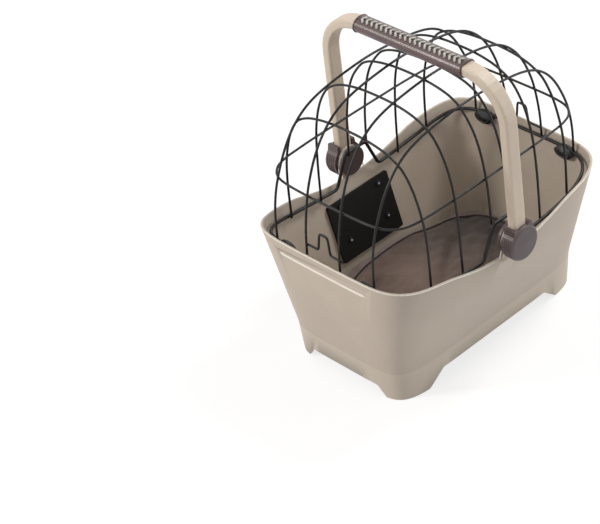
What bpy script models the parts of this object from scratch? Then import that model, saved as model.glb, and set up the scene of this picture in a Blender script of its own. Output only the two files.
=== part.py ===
# Dog basket for a bicycle: moulded tub, welded wire dome, swing handle, mounting plate and cushion.
# Metres, +Z up. The tub's long side runs along X, the side that hangs on the bicycle faces +Y,
# and the origin is the bottom centre, where the four feet stand.

import math

import bmesh
import bpy
import numpy as np
from mathutils import Matrix, Vector
from mathutils.bvhtree import BVHTree

MM = 0.001
DEG = math.pi / 180

# Fits between neighbours
SEAT_GAP = 0.3 * MM
WELD_GAP = 0.25 * MM
RUN_GAP = 0.3 * MM

# Tub outline, seen from above, and its heights
RIM_LENGTH = 500 * MM
RIM_WIDTH = 353.4 * MM
RIM_POWER = 6.2
RIM_HEIGHT = 252.5 * MM
RIM_DROP = 44 * MM
RIM_DROP_SHARES = (1.0, 0.84, 0.445, 0.22, 0.0)
RIM_SPOT_SHARES = (0.0, 0.3, 0.55, 0.8, 1.0)
RIM_ROUND = 1.9 * MM
END_FLARE = 27.5 * MM
SIDE_FLARE = 44.9 * MM
CREASE_LENGTH = RIM_LENGTH - 2 * END_FLARE
CREASE_WIDTH = RIM_WIDTH - 2 * SIDE_FLARE
CREASE_POWER = 7.0
CREASE_HEIGHT = 61 * MM
CREASE_SOFTENING = 5 * MM
SKIRT_INSET = 2 * MM
WALL = 4 * MM
FLOOR_HEIGHT = 38 * MM
FLOOR_THICKNESS = 4 * MM
FLOOR_FILLET = 9 * MM
QUARTER_POINTS = 18
QUARTER_SAMPLES = 4001
CORNER_WEIGHT = 150 * MM

# Feet: what is left of the skirt between the arches
SIDE_FOOT = 64.5 * MM
SIDE_ARCH_LEAN = 33 * MM
SIDE_ARCH_BASE = CREASE_LENGTH - 2 * SIDE_FOOT
SIDE_ARCH_TOP = SIDE_ARCH_BASE - 2 * SIDE_ARCH_LEAN
SIDE_ARCH_HEIGHT = 26 * MM
END_FOOT = 43.8 * MM
END_ARCH_LEAN = 15 * MM
END_ARCH_BASE = CREASE_WIDTH - 2 * END_FOOT
END_ARCH_TOP = END_ARCH_BASE - 2 * END_ARCH_LEAN
END_ARCH_HEIGHT = 20 * MM
ARCH_ROUND = 9 * MM
CUT_MARGIN = 10 * MM

# Grip panels pressed into both short ends
LEDGE_BELOW_RIM = 37.5 * MM
LEDGE_HEIGHT = RIM_HEIGHT - LEDGE_BELOW_RIM
LEDGE_WIDTH = 196 * MM
LEDGE_DEPTH = 2.2 * MM
LEDGE_RISE = 27 * MM
LEDGE_ROUND = 12 * MM

# Ears that carry the handle
PIVOT_BELOW_RIM = 17 * MM
PIVOT_HEIGHT = RIM_HEIGHT - PIVOT_BELOW_RIM
EAR_RADIUS = 24 * MM
EAR_SETBACK = 0.7 * MM
EAR_THICKNESS = 6 * MM
EAR_INSIDE = RIM_WIDTH / 2 - EAR_SETBACK
EAR_OUTSIDE = EAR_INSIDE + EAR_THICKNESS
EAR_NECK_WIDTH = 42 * MM
EAR_NECK_ABOVE_RIM = 17 * MM
EAR_NECK_BELOW_RIM = 18 * MM
EAR_NECK_SLOPE = 12 * MM
EAR_NECK_SEAT = 3 * MM
EAR_STEP = 0.4 * MM
PIN_RADIUS = 4 * MM

# Hubs
CUP_RADIUS = 30.5 * MM
CUP_THICKNESS = 24.7 * MM
CUP_ROUND = 4 * MM
CUP_DISH = 0.8 * MM
HORN_HEIGHT = 32 * MM
HORN_SPREAD = 20 * MM
HORN_FOOT = 25 * MM
HORN_WIDTH = 4 * MM
HORN_DIP = 4 * MM
HORN_CURVE = 1 * MM
INNER_CAP_RADIUS = 26.3 * MM
INNER_CAP_LENGTH = 6.5 * MM
INNER_CAP_ROUND = 2.5 * MM
INNER_CAP_DISH = 0.8 * MM
PIN_SINK = 3.5 * MM
ROUND_STEPS = 32
BORE_STEPS = 14

# Handle
LEG_WIDTH = 27.4 * MM
LEG_THICKNESS = 17 * MM
LEG_ROUND = 4.5 * MM
LEG_LEAN = 2.4 * MM
EYE_STEP = 0.3 * MM
HANDLE_TIP = -1.5 * DEG
BEND_STEPS = 10
SLEEVE_END_GAP = 0.7 * MM
SLEEVE_WIDTH = 34.5 * MM
SLEEVE_DEPTH = 26.5 * MM
SLEEVE_SIDES = 28

# Wire dome: surface of the cross hoops, its rings and its wires
RING_END_INSET = 11 * MM
RING_SIDE_INSET = 14.7 * MM
RING_LENGTH = RIM_LENGTH - 2 * RING_END_INSET
RING_WIDTH = RIM_WIDTH - 2 * RING_SIDE_INSET
DOME_END_INSET = 5.5 * MM
DOME_SIDE_INSET = 5.3 * MM
DOME_LENGTH = RING_LENGTH - 2 * DOME_END_INSET
DOME_WIDTH = RING_WIDTH - 2 * DOME_SIDE_INSET
FOOT_BELOW_RIM = 53.5 * MM
CROWN_ABOVE_RIM = 230.5 * MM
DOME_FOOT = RIM_HEIGHT - FOOT_BELOW_RIM
DOME_CROWN = RIM_HEIGHT + CROWN_ABOVE_RIM
HANDLE_ABOVE_CROWN = 42 * MM
HANDLE_HEIGHT = DOME_CROWN + HANDLE_ABOVE_CROWN
HANDLE_BEND = 75 * MM
LENGTH_POWER = 3.08
LENGTH_FALL = 2.55
WIDTH_POWER = 3.61
WIDTH_FALL = 3.18
WIRE_RADIUS = 2 * MM
RING_RADIUS = 3 * MM
RING_BELOW_RIM = 10 * MM
RING_DROP = 36 * MM
RING_DROP_SHARES = (1.0, 0.92, 0.75, 0.36, 0.0)
MID_RING_ABOVE_RIM = 91.5 * MM
MID_RING_HEIGHT = RIM_HEIGHT + MID_RING_ABOVE_RIM
CROSS_HOOP_SPOTS = (-161 * MM, -92 * MM, -21 * MM, 21 * MM, 92 * MM, 161 * MM)
OUTER_HOOP_FROM_SIDE = 49.7 * MM
OUTER_HOOP_SPOT = DOME_WIDTH / 2 - OUTER_HOOP_FROM_SIDE
LONG_HOOP_SPOTS = (OUTER_HOOP_SPOT, 36.4 * MM, -36.4 * MM, -OUTER_HOOP_SPOT)
HOOP_STEPS = 20
MID_RING_STEPS = 14
CORNER_SHARES = (0.03, 0.4)
DETOUR_BASE = 98 * MM
DETOUR_TOP_WIDTH = 48 * MM
DETOUR_ABOVE_RIM = 12.5 * MM
DETOUR_HEIGHT = RIM_HEIGHT + DETOUR_ABOVE_RIM
DETOUR_ROUND = 10 * MM
PULL_ABOVE_RIM = 11.5 * MM
PULL_RISE = 31 * MM
PULL_HEIGHT = RIM_HEIGHT + PULL_ABOVE_RIM
PULL_TOP = PULL_HEIGHT + PULL_RISE
PULL_WIDTH = 18 * MM
PULL_FOOT = 26 * MM
PULL_ROUND = 5 * MM
PULL_OVERHANG = 4 * MM

# Clips that hold the dome's base ring
CLIP_FROM_SIDE = 74 * MM
CLIP_SPOT = RING_WIDTH / 2 - CLIP_FROM_SIDE
CLIP_WIDTH = 36.5 * MM
CLIP_HEIGHT = 22 * MM
CLIP_ABOVE_RING = 2.5 * MM
CLIP_LIP = 4 * MM
CLIP_BOSS_RISE = 1.2 * MM
CLIP_BOSS_SHARE = 0.74
GROOVE_REACH = 48 * MM
GROOVE_STEPS = 8
PEG_DROP = 11 * MM
PEG_RADIUS = 3 * MM

# Mounting plate inside and bracket outside on the bicycle side
PLATE_WIDTH = 141.5 * MM
PLATE_BELOW_RIM = 18.8 * MM
PLATE_ABOVE_CREASE = 23.2 * MM
PLATE_THICKNESS = 5 * MM
PLATE_TOP = RIM_HEIGHT - RIM_DROP - PLATE_BELOW_RIM
PLATE_HEIGHT = PLATE_TOP - CREASE_HEIGHT - PLATE_ABOVE_CREASE
PLATE_SHIFT = -7.6 * MM
PLATE_CORNER = 3 * MM
SEAT_GRID_SHARES = (-0.5, -0.25, 0.0, 0.25, 0.5)
BOLT_SPREAD = 90 * MM
BOLT_TOP_MARGIN = 11.75 * MM
BOLT_LOW_MARGIN = 32.75 * MM
BOLT_RISE = PLATE_HEIGHT - BOLT_TOP_MARGIN - BOLT_LOW_MARGIN
BOLT_LIFT = (BOLT_LOW_MARGIN - BOLT_TOP_MARGIN) / 2
BOLT_RADIUS = 3 * MM
BOLT_HEAD_RADIUS = 5 * MM
BOLT_HEAD_HEIGHT = 3 * MM
NUT_RADIUS = 5.5 * MM
NUT_HEIGHT = 4 * MM
BRACKET_WIDTH = 120 * MM
BRACKET_MARGIN = 7.75 * MM
BRACKET_HEIGHT = PLATE_HEIGHT - 2 * BRACKET_MARGIN
BRACKET_PAD = 5 * MM
BRACKET_CLEARANCE = 4 * MM
BRACKET_FACE = EAR_OUTSIDE + BRACKET_CLEARANCE
BRACKET_HOOK_REACH = 14 * MM
BRACKET_HOOK_THICKNESS = 5 * MM
BRACKET_HOOK_DROP = 22 * MM

# Cushion
CUSHION_INSET = 2 * MM
CUSHION_THICKNESS = 30 * MM
CUSHION_CROWN = 14 * MM
CUSHION_POWER = 5.0
CUSHION_MIDDLE_POWER = 2.5
CUSHION_SIDES = 52
CUSHION_EDGE_STEPS = 4
CUSHION_BASE_SHARES = (0.5, 0.93)
CUSHION_TOP_SHARES = (0.84, 0.66, 0.45, 0.22)
BORDER_LIFT = 15 * MM
BORDER_PUSH = 17 * MM
BORDER_MIDDLE = -10 * MM
BORDER_FULL = 60 * MM
BORDER_FADE = 60 * MM


def fresh_scene():
    for obj in list(bpy.data.objects):
        bpy.data.objects.remove(obj, do_unlink=True)


def collection(name):
    group = bpy.data.collections.new(name)
    bpy.context.scene.collection.children.link(group)
    return group


fresh_scene()
PARTS = collection("dog_bicycle_basket")
CUTTERS = collection("cutters")


def finish(name, colour, roughness, metallic=0.0):
    material = bpy.data.materials.new(name)
    material.use_nodes = True
    shader = material.node_tree.nodes["Principled BSDF"]
    shader.inputs["Base Color"].default_value = (*colour, 1.0)
    shader.inputs["Roughness"].default_value = roughness
    shader.inputs["Metallic"].default_value = metallic
    return material


def add(name, data, material=None):
    """A part in the basket, or a cutter when it has no material."""
    obj = bpy.data.objects.new(name, data)
    if material is None:
        CUTTERS.objects.link(obj)
        obj.hide_render = True
        obj.display_type = "WIRE"
    else:
        PARTS.objects.link(obj)
        data.materials.append(material)
    return obj


def mesh_from(name, bm, smooth=False):
    data = bpy.data.meshes.new(name)
    bmesh.ops.recalc_face_normals(bm, faces=bm.faces)
    for face in bm.faces:
        face.smooth = smooth
    bm.to_mesh(data)
    bm.free()
    return data


def loft(name, rings, material=None, smooth=True):
    """Closed body through rings of equally many points, capped at both ends."""
    bm = bmesh.new()
    rows = [[bm.verts.new(point) for point in ring] for ring in rings]
    for low, high in zip(rows, rows[1:]):
        for i in range(len(low)):
            j = (i + 1) % len(low)
            bm.faces.new((low[i], low[j], high[j], high[i]))
    bm.faces.new(rows[0][::-1])
    bm.faces.new(rows[-1])
    return add(name, mesh_from(name, bm, smooth), material)


def settle(obj):
    """The object's evaluated shape as a plain mesh in world space, with its curve or modifiers gone."""
    graph = bpy.context.evaluated_depsgraph_get()
    data = bpy.data.meshes.new_from_object(obj.evaluated_get(graph))
    data.transform(obj.matrix_world)
    bm = bmesh.new()
    bm.from_mesh(data)
    bmesh.ops.remove_doubles(bm, verts=bm.verts, dist=WELD_GAP / 10)
    bmesh.ops.recalc_face_normals(bm, faces=bm.faces)
    bm.to_mesh(data)
    bm.free()
    return data


def rounded(points, radius, steps=3, closed=True):
    """The path with its corners replaced by arcs."""
    points = [Vector(p) for p in points]
    result = []
    for i, point in enumerate(points):
        if not closed and i in (0, len(points) - 1):
            result.append(point)
            continue
        before = (points[i - 1] - point).normalized()
        after = (points[(i + 1) % len(points)] - point).normalized()
        half = before.angle(after) / 2
        reach = radius / math.tan(half)
        middle = point + (before + after).normalized() * (radius / math.sin(half))
        start = (point + before * reach - middle).normalized()
        end = (point + after * reach - middle).normalized()
        for k in range(steps + 1):
            result.append(middle + start.slerp(end, k / steps) * radius)
    return result


def slab(name, outlines, thickness, spot, turn, material=None):
    """Flat plate of the filled outlines, half its thickness to each side, placed in the world."""
    curve = bpy.data.curves.new(name, "CURVE")
    curve.dimensions = "2D"
    curve.fill_mode = "BOTH"
    curve.extrude = thickness / 2
    curve.render_resolution_u = 0
    for outline in outlines:
        spline = curve.splines.new("POLY")
        spline.points.add(len(outline) - 1)
        for node, point in zip(spline.points, outline):
            node.co = (point[0], point[1], 0.0, 1.0)
        spline.use_cyclic_u = True
    obj = bpy.data.objects.new(name, curve)
    CUTTERS.objects.link(obj)
    obj.location = spot
    obj.rotation_euler = turn
    bpy.context.view_layer.update()
    data = settle(obj)
    bpy.data.objects.remove(obj, do_unlink=True)
    return add(name, data, material)


ALONG_X = (90 * DEG, 0.0, 90 * DEG)
ALONG_Y = (90 * DEG, 0.0, 0.0)


def wire(name, points, radius, material=None, closed=False, section=None):
    """Round wire through the points, or a bar of another section."""
    curve = bpy.data.curves.new(name, "CURVE")
    curve.dimensions = "3D"
    curve.use_fill_caps = True
    curve.bevel_resolution = 2
    curve.render_resolution_u = 0
    curve.bevel_depth = radius
    spline = curve.splines.new("POLY")
    spline.points.add(len(points) - 1)
    for node, point in zip(spline.points, points):
        node.co = (*point, 1.0)
    spline.use_cyclic_u = closed
    spline.use_smooth = True
    if section is not None:
        curve.bevel_mode = "OBJECT"
        curve.bevel_object = section
    obj = bpy.data.objects.new(name, curve)
    CUTTERS.objects.link(obj)
    bpy.context.view_layer.update()
    data = settle(obj)
    bpy.data.objects.remove(obj, do_unlink=True)
    for face in data.polygons:
        face.use_smooth = len(face.vertices) == 4
    return add(name, data, material)


def section_curve(name, outline):
    curve = bpy.data.curves.new(name, "CURVE")
    curve.dimensions = "2D"
    curve.render_resolution_u = 0
    spline = curve.splines.new("POLY")
    spline.points.add(len(outline) - 1)
    for node, point in zip(spline.points, outline):
        node.co = (point[0], point[1], 0.0, 1.0)
    spline.use_cyclic_u = True
    obj = bpy.data.objects.new(name, curve)
    CUTTERS.objects.link(obj)
    obj.hide_render = True
    return obj


def turned(name, profile, spot, turn, material=None, steps=ROUND_STEPS):
    """Solid of revolution about local Z. The profile runs from the top of the axis to its bottom."""
    bm = bmesh.new()
    verts = [bm.verts.new((radius, 0.0, height)) for radius, height in profile]
    for first, second in zip(verts, verts[1:]):
        bm.edges.new((first, second))
    data = bpy.data.meshes.new(name)
    bm.to_mesh(data)
    bm.free()
    raw = add(name, data)
    screw = raw.modifiers.new("turn", "SCREW")
    screw.steps = steps
    screw.render_steps = steps
    screw.use_merge_vertices = True
    screw.merge_threshold = WELD_GAP / 10
    screw.use_smooth_shade = True
    raw.location = spot
    raw.rotation_euler = turn
    bpy.context.view_layer.update()
    solid = settle(raw)
    bpy.data.objects.remove(raw, do_unlink=True)
    for face in solid.polygons:
        face.use_smooth = True
    return add(name, solid, material)


def rod_profile(radius, low, high, top_round=0.0, steps=3):
    """Cylinder from low to high, with a rounded top edge where that is asked for."""
    points = [(0.0, high)]
    if top_round > 0:
        for k in range(steps + 1):
            angle = 90 * DEG * k / steps
            across = radius - top_round + top_round * math.sin(angle)
            points.append((across, high - top_round + top_round * math.cos(angle)))
    else:
        points.append((radius, high))
    points.append((radius, low))
    points.append((0.0, low))
    return points


def combine(target, tool, operation):
    step = target.modifiers.new(operation.lower(), "BOOLEAN")
    step.operation = operation
    step.solver = "EXACT"
    step.object = tool


def cut(target, *tools):
    for tool in tools:
        combine(target, tool, "DIFFERENCE")


def join(target, *tools):
    for tool in tools:
        combine(target, tool, "UNION")


def rectangle(width, height):
    return [
        (-width / 2, -height / 2, 0.0),
        (width / 2, -height / 2, 0.0),
        (width / 2, height / 2, 0.0),
        (-width / 2, height / 2, 0.0),
    ]


def blend(first, second, share):
    return first + (second - first) * share


def eased(share):
    """The share held between 0 and 1, with level ends."""
    held = min(max(share, 0.0), 1.0)
    return held * held * (3 - 2 * held)


def table_value(spot, spots, values):
    """Smooth curve through a short table, level at its first entry."""
    slopes = np.gradient(np.array(values), np.array(spots))
    slopes[0] = 0.0
    k = min(int(np.searchsorted(spots, spot, side="right")) - 1, len(spots) - 2)
    width = spots[k + 1] - spots[k]
    share = (spot - spots[k]) / width
    rise = 3 * share**2 - 2 * share**3
    start = share**3 - 2 * share**2 + share
    end = share**3 - share**2
    return (
        values[k] * (1 - rise)
        + values[k + 1] * rise
        + width * (slopes[k] * start + slopes[k + 1] * end)
    )


def rim_height(x):
    spot = min(abs(x) / (RIM_LENGTH / 2), 1.0)
    return RIM_HEIGHT - RIM_DROP * table_value(spot, RIM_SPOT_SHARES, RIM_DROP_SHARES)


def quarter_angles(half_x, half_y, power, count):
    """Parameters along a quarter of the outline, closest together where it turns."""
    t = np.linspace(0, math.pi / 2, QUARTER_SAMPLES)
    x = half_x * np.cos(t) ** (2 / power)
    y = half_y * np.sin(t) ** (2 / power)
    step = np.hypot(np.diff(x), np.diff(y))
    heading = np.unwrap(np.arctan2(np.diff(y), np.diff(x)))
    turning = np.abs(np.diff(heading, prepend=heading[0]))
    measure = np.concatenate([[0.0], np.cumsum(step + CORNER_WEIGHT * turning)])
    targets = np.linspace(0.0, measure[-1], count + 1)
    return np.interp(targets, measure, t)


QUARTER = quarter_angles(RIM_LENGTH / 2, RIM_WIDTH / 2, RIM_POWER, QUARTER_POINTS)


def outline(half_x, half_y, power, angles=QUARTER):
    """Points round a rounded rectangle, anticlockwise seen from above, starting at +X."""
    corner = [
        (half_x * math.cos(t) ** (2 / power), half_y * math.sin(t) ** (2 / power))
        for t in angles
    ]
    corner[0] = (half_x, 0.0)
    corner[-1] = (0.0, half_y)
    first = corner[:-1]
    second = [(-x, y) for x, y in corner[:0:-1]]
    third = [(-x, -y) for x, y in corner[:-1]]
    fourth = [(x, -y) for x, y in corner[:0:-1]]
    return first + second + third + fourth


def level(points, height):
    return [Vector((x, y, height)) for x, y in points]


def wall_ring(share, inset, below=0.0):
    """Ring on the tapered wall, from the crease (0) to the rim (1)."""
    crease = outline(CREASE_LENGTH / 2 - inset, CREASE_WIDTH / 2 - inset, CREASE_POWER)
    rim = outline(RIM_LENGTH / 2 - inset, RIM_WIDTH / 2 - inset, RIM_POWER)
    ring = []
    for low, high in zip(crease, rim):
        x = blend(low[0], high[0], share)
        y = blend(low[1], high[1], share)
        z = blend(CREASE_HEIGHT, rim_height(high[0]), share)
        ring.append(Vector((x, y, z - below)))
    return ring


def make_tub(material):
    skirt_x = CREASE_LENGTH / 2 - SKIRT_INSET
    skirt_y = CREASE_WIDTH / 2 - SKIRT_INSET
    outer_skirt = outline(skirt_x, skirt_y, CREASE_POWER)
    inner_skirt = outline(skirt_x - WALL, skirt_y - WALL, CREASE_POWER)
    crease = outline(CREASE_LENGTH / 2, CREASE_WIDTH / 2, CREASE_POWER)
    floor_edge = outline(
        skirt_x - WALL - FLOOR_FILLET, skirt_y - WALL - FLOOR_FILLET, CREASE_POWER
    )
    fillet_side = FLOOR_FILLET * (1 - math.sin(45 * DEG))
    fillet = outline(skirt_x - WALL - fillet_side, skirt_y - WALL - fillet_side, CREASE_POWER)
    rise = CREASE_SOFTENING / (RIM_HEIGHT - CREASE_HEIGHT)
    top_inset = RIM_ROUND * (1 - math.sin(45 * DEG))
    rings = [
        level(inner_skirt, FLOOR_HEIGHT - FLOOR_THICKNESS),
        level(inner_skirt, 0.0),
        level(outer_skirt, 0.0),
        level(crease, CREASE_HEIGHT - CREASE_SOFTENING),
        wall_ring(rise, 0.0),
        wall_ring(0.5, 0.0),
        wall_ring(1.0, 0.0, RIM_ROUND),
        wall_ring(1.0, top_inset, top_inset),
        wall_ring(1.0, WALL / 2),
        wall_ring(1.0, WALL - top_inset, top_inset),
        wall_ring(1.0, WALL, RIM_ROUND),
        wall_ring(0.5, WALL),
        wall_ring(0.0, WALL),
        level(inner_skirt, FLOOR_HEIGHT + FLOOR_FILLET),
        level(fillet, FLOOR_HEIGHT + fillet_side),
        level(floor_edge, FLOOR_HEIGHT),
    ]
    return loft("tub_shell", rings, material)


def arch_outline(base, top, height):
    corners = [
        (base / 2, 0.0, 0.0),
        (top / 2, height, 0.0),
        (-top / 2, height, 0.0),
        (-base / 2, 0.0, 0.0),
    ]
    arcs = rounded(corners, ARCH_ROUND, closed=False)
    return [(base / 2, -CUT_MARGIN, 0.0)] + arcs + [(-base / 2, -CUT_MARGIN, 0.0)]


def cut_feet(tub):
    side = arch_outline(SIDE_ARCH_BASE, SIDE_ARCH_TOP, SIDE_ARCH_HEIGHT)
    end = arch_outline(END_ARCH_BASE, END_ARCH_TOP, END_ARCH_HEIGHT)
    cut(
        tub,
        slab("side_arch", [side], RIM_WIDTH, (0, 0, 0), ALONG_Y),
        slab("end_arch", [end], RIM_LENGTH, (0, 0, 0), ALONG_X),
    )


def end_wall_x(height):
    share = (height - CREASE_HEIGHT) / (RIM_HEIGHT - CREASE_HEIGHT)
    return blend(CREASE_LENGTH / 2, RIM_LENGTH / 2, share)


END_TAPER = math.atan2((RIM_LENGTH - CREASE_LENGTH) / 2, RIM_HEIGHT - CREASE_HEIGHT)


def cut_ledges(tub):
    """Panels that are deepest at their lower edge and fade out below the rim."""
    tilt = END_TAPER + math.atan2(LEDGE_DEPTH, LEDGE_RISE)
    height = 2 * LEDGE_RISE
    panel = rounded(rectangle(LEDGE_WIDTH, height), LEDGE_ROUND, steps=4)
    for side in (1, -1):
        low_x = end_wall_x(LEDGE_HEIGHT) - LEDGE_DEPTH
        x = low_x + LEDGE_RISE * math.sin(tilt) + CUT_MARGIN / 2 * math.cos(tilt)
        z = LEDGE_HEIGHT + LEDGE_RISE * math.cos(tilt) - CUT_MARGIN / 2 * math.sin(tilt)
        turn = (90 * DEG + tilt, 0.0, 90 * DEG * side)
        cut(tub, slab(f"ledge_{side + 1}", [panel], CUT_MARGIN, (side * x, 0, z), turn))


def add_ears(tub):
    """A round ear above the middle of each long side, on a neck that stands on the wall."""
    middle = (EAR_INSIDE + EAR_OUTSIDE) / 2
    half = (EAR_OUTSIDE - EAR_INSIDE) / 2
    rim = rim_height(0.0)
    low = rim - EAR_NECK_BELOW_RIM
    seat = rim - EAR_NECK_SEAT
    for side in (1, -1):
        spot = (0, side * middle, PIVOT_HEIGHT)
        turn = (-90 * DEG * side, 0, 0)
        disc = turned(f"ear_{side + 1}", rod_profile(EAR_RADIUS, -half, half), spot, turn)
        corners = [
            (side * (wall_y(0.0, low) - WALL / 2), low, 0.0),
            (side * (EAR_OUTSIDE - EAR_STEP), low + EAR_NECK_SLOPE, 0.0),
            (side * (EAR_OUTSIDE - EAR_STEP), rim + EAR_NECK_ABOVE_RIM, 0.0),
            (side * (EAR_INSIDE + EAR_STEP), rim + EAR_NECK_ABOVE_RIM, 0.0),
            (side * (EAR_INSIDE + EAR_STEP), seat, 0.0),
            (side * (wall_y(0.0, seat) - WALL / 2), seat, 0.0),
        ]
        neck = slab(f"ear_neck_{side + 1}", [corners], EAR_NECK_WIDTH, (0, 0, 0), ALONG_X)
        hole = turned(
            f"ear_hole_{side + 1}",
            rod_profile(PIN_RADIUS + RUN_GAP, -half - CUT_MARGIN, half + CUT_MARGIN),
            spot,
            turn,
            steps=BORE_STEPS,
        )
        join(tub, disc, neck)
        cut(tub, hole)


def wall_y(x, height):
    """Outside of the long wall at a place near its middle."""
    share = (height - CREASE_HEIGHT) / (rim_height(x) - CREASE_HEIGHT)
    return blend(CREASE_WIDTH / 2, RIM_WIDTH / 2, share)


def make_hub(side, letter, cup_finish, pin_finish):
    """Cup round the handle's foot outside, cap inside, and the pin through both."""
    out = (-90 * DEG * side, 0, 0)
    inner_face = EAR_OUTSIDE + SEAT_GAP
    cup_spot = (0, side * inner_face, PIVOT_HEIGHT)
    profile = rod_profile(CUP_RADIUS, 0.0, CUP_THICKNESS, CUP_ROUND)
    profile[0] = (0.0, CUP_THICKNESS + CUP_DISH)
    cup = turned(f"hub_cup_{letter}", profile, cup_spot, out, cup_finish)
    horns = [
        (-HORN_FOOT, 0.0, 0.0),
        (HORN_FOOT, 0.0, 0.0),
        (HORN_SPREAD, HORN_HEIGHT, 0.0),
        (HORN_SPREAD - HORN_WIDTH, HORN_HEIGHT, 0.0),
        (HORN_SPREAD / 2, HORN_HEIGHT - HORN_DIP + HORN_CURVE, 0.0),
        (0.0, HORN_HEIGHT - HORN_DIP, 0.0),
        (-HORN_SPREAD / 2, HORN_HEIGHT - HORN_DIP + HORN_CURVE, 0.0),
        (-HORN_SPREAD + HORN_WIDTH, HORN_HEIGHT, 0.0),
        (-HORN_SPREAD, HORN_HEIGHT, 0.0),
    ]
    horn_depth = CUP_THICKNESS - CUP_ROUND / 2 - EAR_STEP
    middle = side * (inner_face + EAR_STEP + horn_depth / 2)
    join(cup, slab(f"horns_{letter}", [horns], horn_depth, (0, middle, PIVOT_HEIGHT), ALONG_Y))
    slot_width = LEG_WIDTH + 2 * SEAT_GAP
    slot_depth = LEG_THICKNESS + 3 * SEAT_GAP
    slot = [
        (slot_width / 2, HORN_HEIGHT + CUT_MARGIN, 0.0),
        (-slot_width / 2, HORN_HEIGHT + CUT_MARGIN, 0.0),
    ]
    for k in range(ROUND_STEPS // 2 + 1):
        angle = 180 * DEG + 180 * DEG * k / (ROUND_STEPS // 2)
        x = slot_width / 2 * math.cos(angle)
        slot.append((x, slot_width / 2 * math.sin(angle), 0.0))
    depth = slot_depth + CUT_MARGIN
    spot = (0, side * (inner_face + slot_depth / 2 - CUT_MARGIN / 2), PIVOT_HEIGHT)
    cut(cup, slab(f"leg_slot_{letter}", [slot], depth, spot, ALONG_Y))
    cap_face = EAR_INSIDE - SEAT_GAP
    cap_spot = (0, side * cap_face, PIVOT_HEIGHT)
    inward = (90 * DEG * side, 0, 0)
    cap_profile = rod_profile(INNER_CAP_RADIUS, 0.0, INNER_CAP_LENGTH, INNER_CAP_ROUND)
    cap_profile[0] = (0.0, INNER_CAP_LENGTH + INNER_CAP_DISH)
    cap = turned(f"hub_inner_cap_{letter}", cap_profile, cap_spot, inward, cup_finish)
    sink = turned(
        f"cap_hole_{letter}",
        rod_profile(PIN_RADIUS + RUN_GAP, -CUT_MARGIN, PIN_SINK + SEAT_GAP),
        cap_spot,
        inward,
        steps=BORE_STEPS,
    )
    cut(cap, sink)
    pin_start = cap_face - PIN_SINK
    pin_end = inner_face + LEG_THICKNESS
    turned(
        f"pivot_pin_{letter}",
        rod_profile(PIN_RADIUS, 0.0, pin_end - pin_start),
        (0, side * pin_start, PIVOT_HEIGHT),
        out,
        pin_finish,
        BORE_STEPS,
    )


def make_handle(material, sleeve_finish):
    leg_y = EAR_OUTSIDE + 2 * SEAT_GAP + LEG_THICKNESS / 2
    shoulder_y = leg_y - LEG_LEAN
    shoulder_z = HANDLE_HEIGHT - HANDLE_BEND
    half = []
    half.append(Vector((0, leg_y, PIVOT_HEIGHT)))
    half.append(Vector((0, leg_y, PIVOT_HEIGHT + HORN_HEIGHT)))
    for k in range(BEND_STEPS + 1):
        angle = 90 * DEG * k / BEND_STEPS
        y = shoulder_y - HANDLE_BEND * (1 - math.cos(angle))
        half.append(Vector((0, y, shoulder_z + HANDLE_BEND * math.sin(angle))))
    path = half + [Vector((0, -p.y, p.z)) for p in reversed(half)]
    bar = rounded(rectangle(LEG_WIDTH, LEG_THICKNESS), LEG_ROUND, steps=3)
    section = section_curve("leg_section", bar)
    arch = wire("handle_arch", path, 0.0, material, section=section)
    for side in (1, -1):
        spot = (0, side * leg_y, PIVOT_HEIGHT)
        turn = (-90 * DEG * side, 0, 0)
        half_leg = LEG_THICKNESS / 2
        radius = LEG_WIDTH / 2 - EYE_STEP
        eye = rod_profile(radius, EYE_STEP - half_leg, half_leg - EYE_STEP)
        join(arch, turned(f"leg_eye_{side + 1}", eye, spot, turn))
        bore = rod_profile(PIN_RADIUS + RUN_GAP, -half_leg - CUT_MARGIN, half_leg + CUT_MARGIN)
        cut(arch, turned(f"leg_bore_{side + 1}", bore, spot, turn, steps=BORE_STEPS))
    oval = []
    for k in range(SLEEVE_SIDES):
        angle = 360 * DEG * k / SLEEVE_SIDES
        oval.append((SLEEVE_WIDTH / 2 * math.cos(angle), SLEEVE_DEPTH / 2 * math.sin(angle), 0.0))
    bore = rounded(
        rectangle(LEG_WIDTH + 2 * SEAT_GAP, LEG_THICKNESS + 2 * SEAT_GAP), LEG_ROUND, steps=3
    )
    length = 2 * (shoulder_y - HANDLE_BEND - SLEEVE_END_GAP)
    slab("grip_sleeve", [oval, bore], length, (0, 0, HANDLE_HEIGHT), ALONG_Y, sleeve_finish)


def dome_shape(x, y):
    """Height of the cross hoops' surface above its foot, as a share of the crown."""
    along = max(1 - (abs(x) / (DOME_LENGTH / 2)) ** LENGTH_POWER, 0.0)
    across = max(1 - (abs(y) / (DOME_WIDTH / 2)) ** WIDTH_POWER, 0.0)
    return along ** (1 / LENGTH_FALL) * across ** (1 / WIDTH_FALL)


def dome_height(x, y):
    return DOME_FOOT + (DOME_CROWN - DOME_FOOT) * dome_shape(x, y)


def dome_normal(x, y):
    step = WELD_GAP
    slope_x = (dome_height(x + step, y) - dome_height(x - step, y)) / (2 * step)
    slope_y = (dome_height(x, y + step) - dome_height(x, y - step)) / (2 * step)
    return Vector((-slope_x, -slope_y, 1.0))


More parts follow.
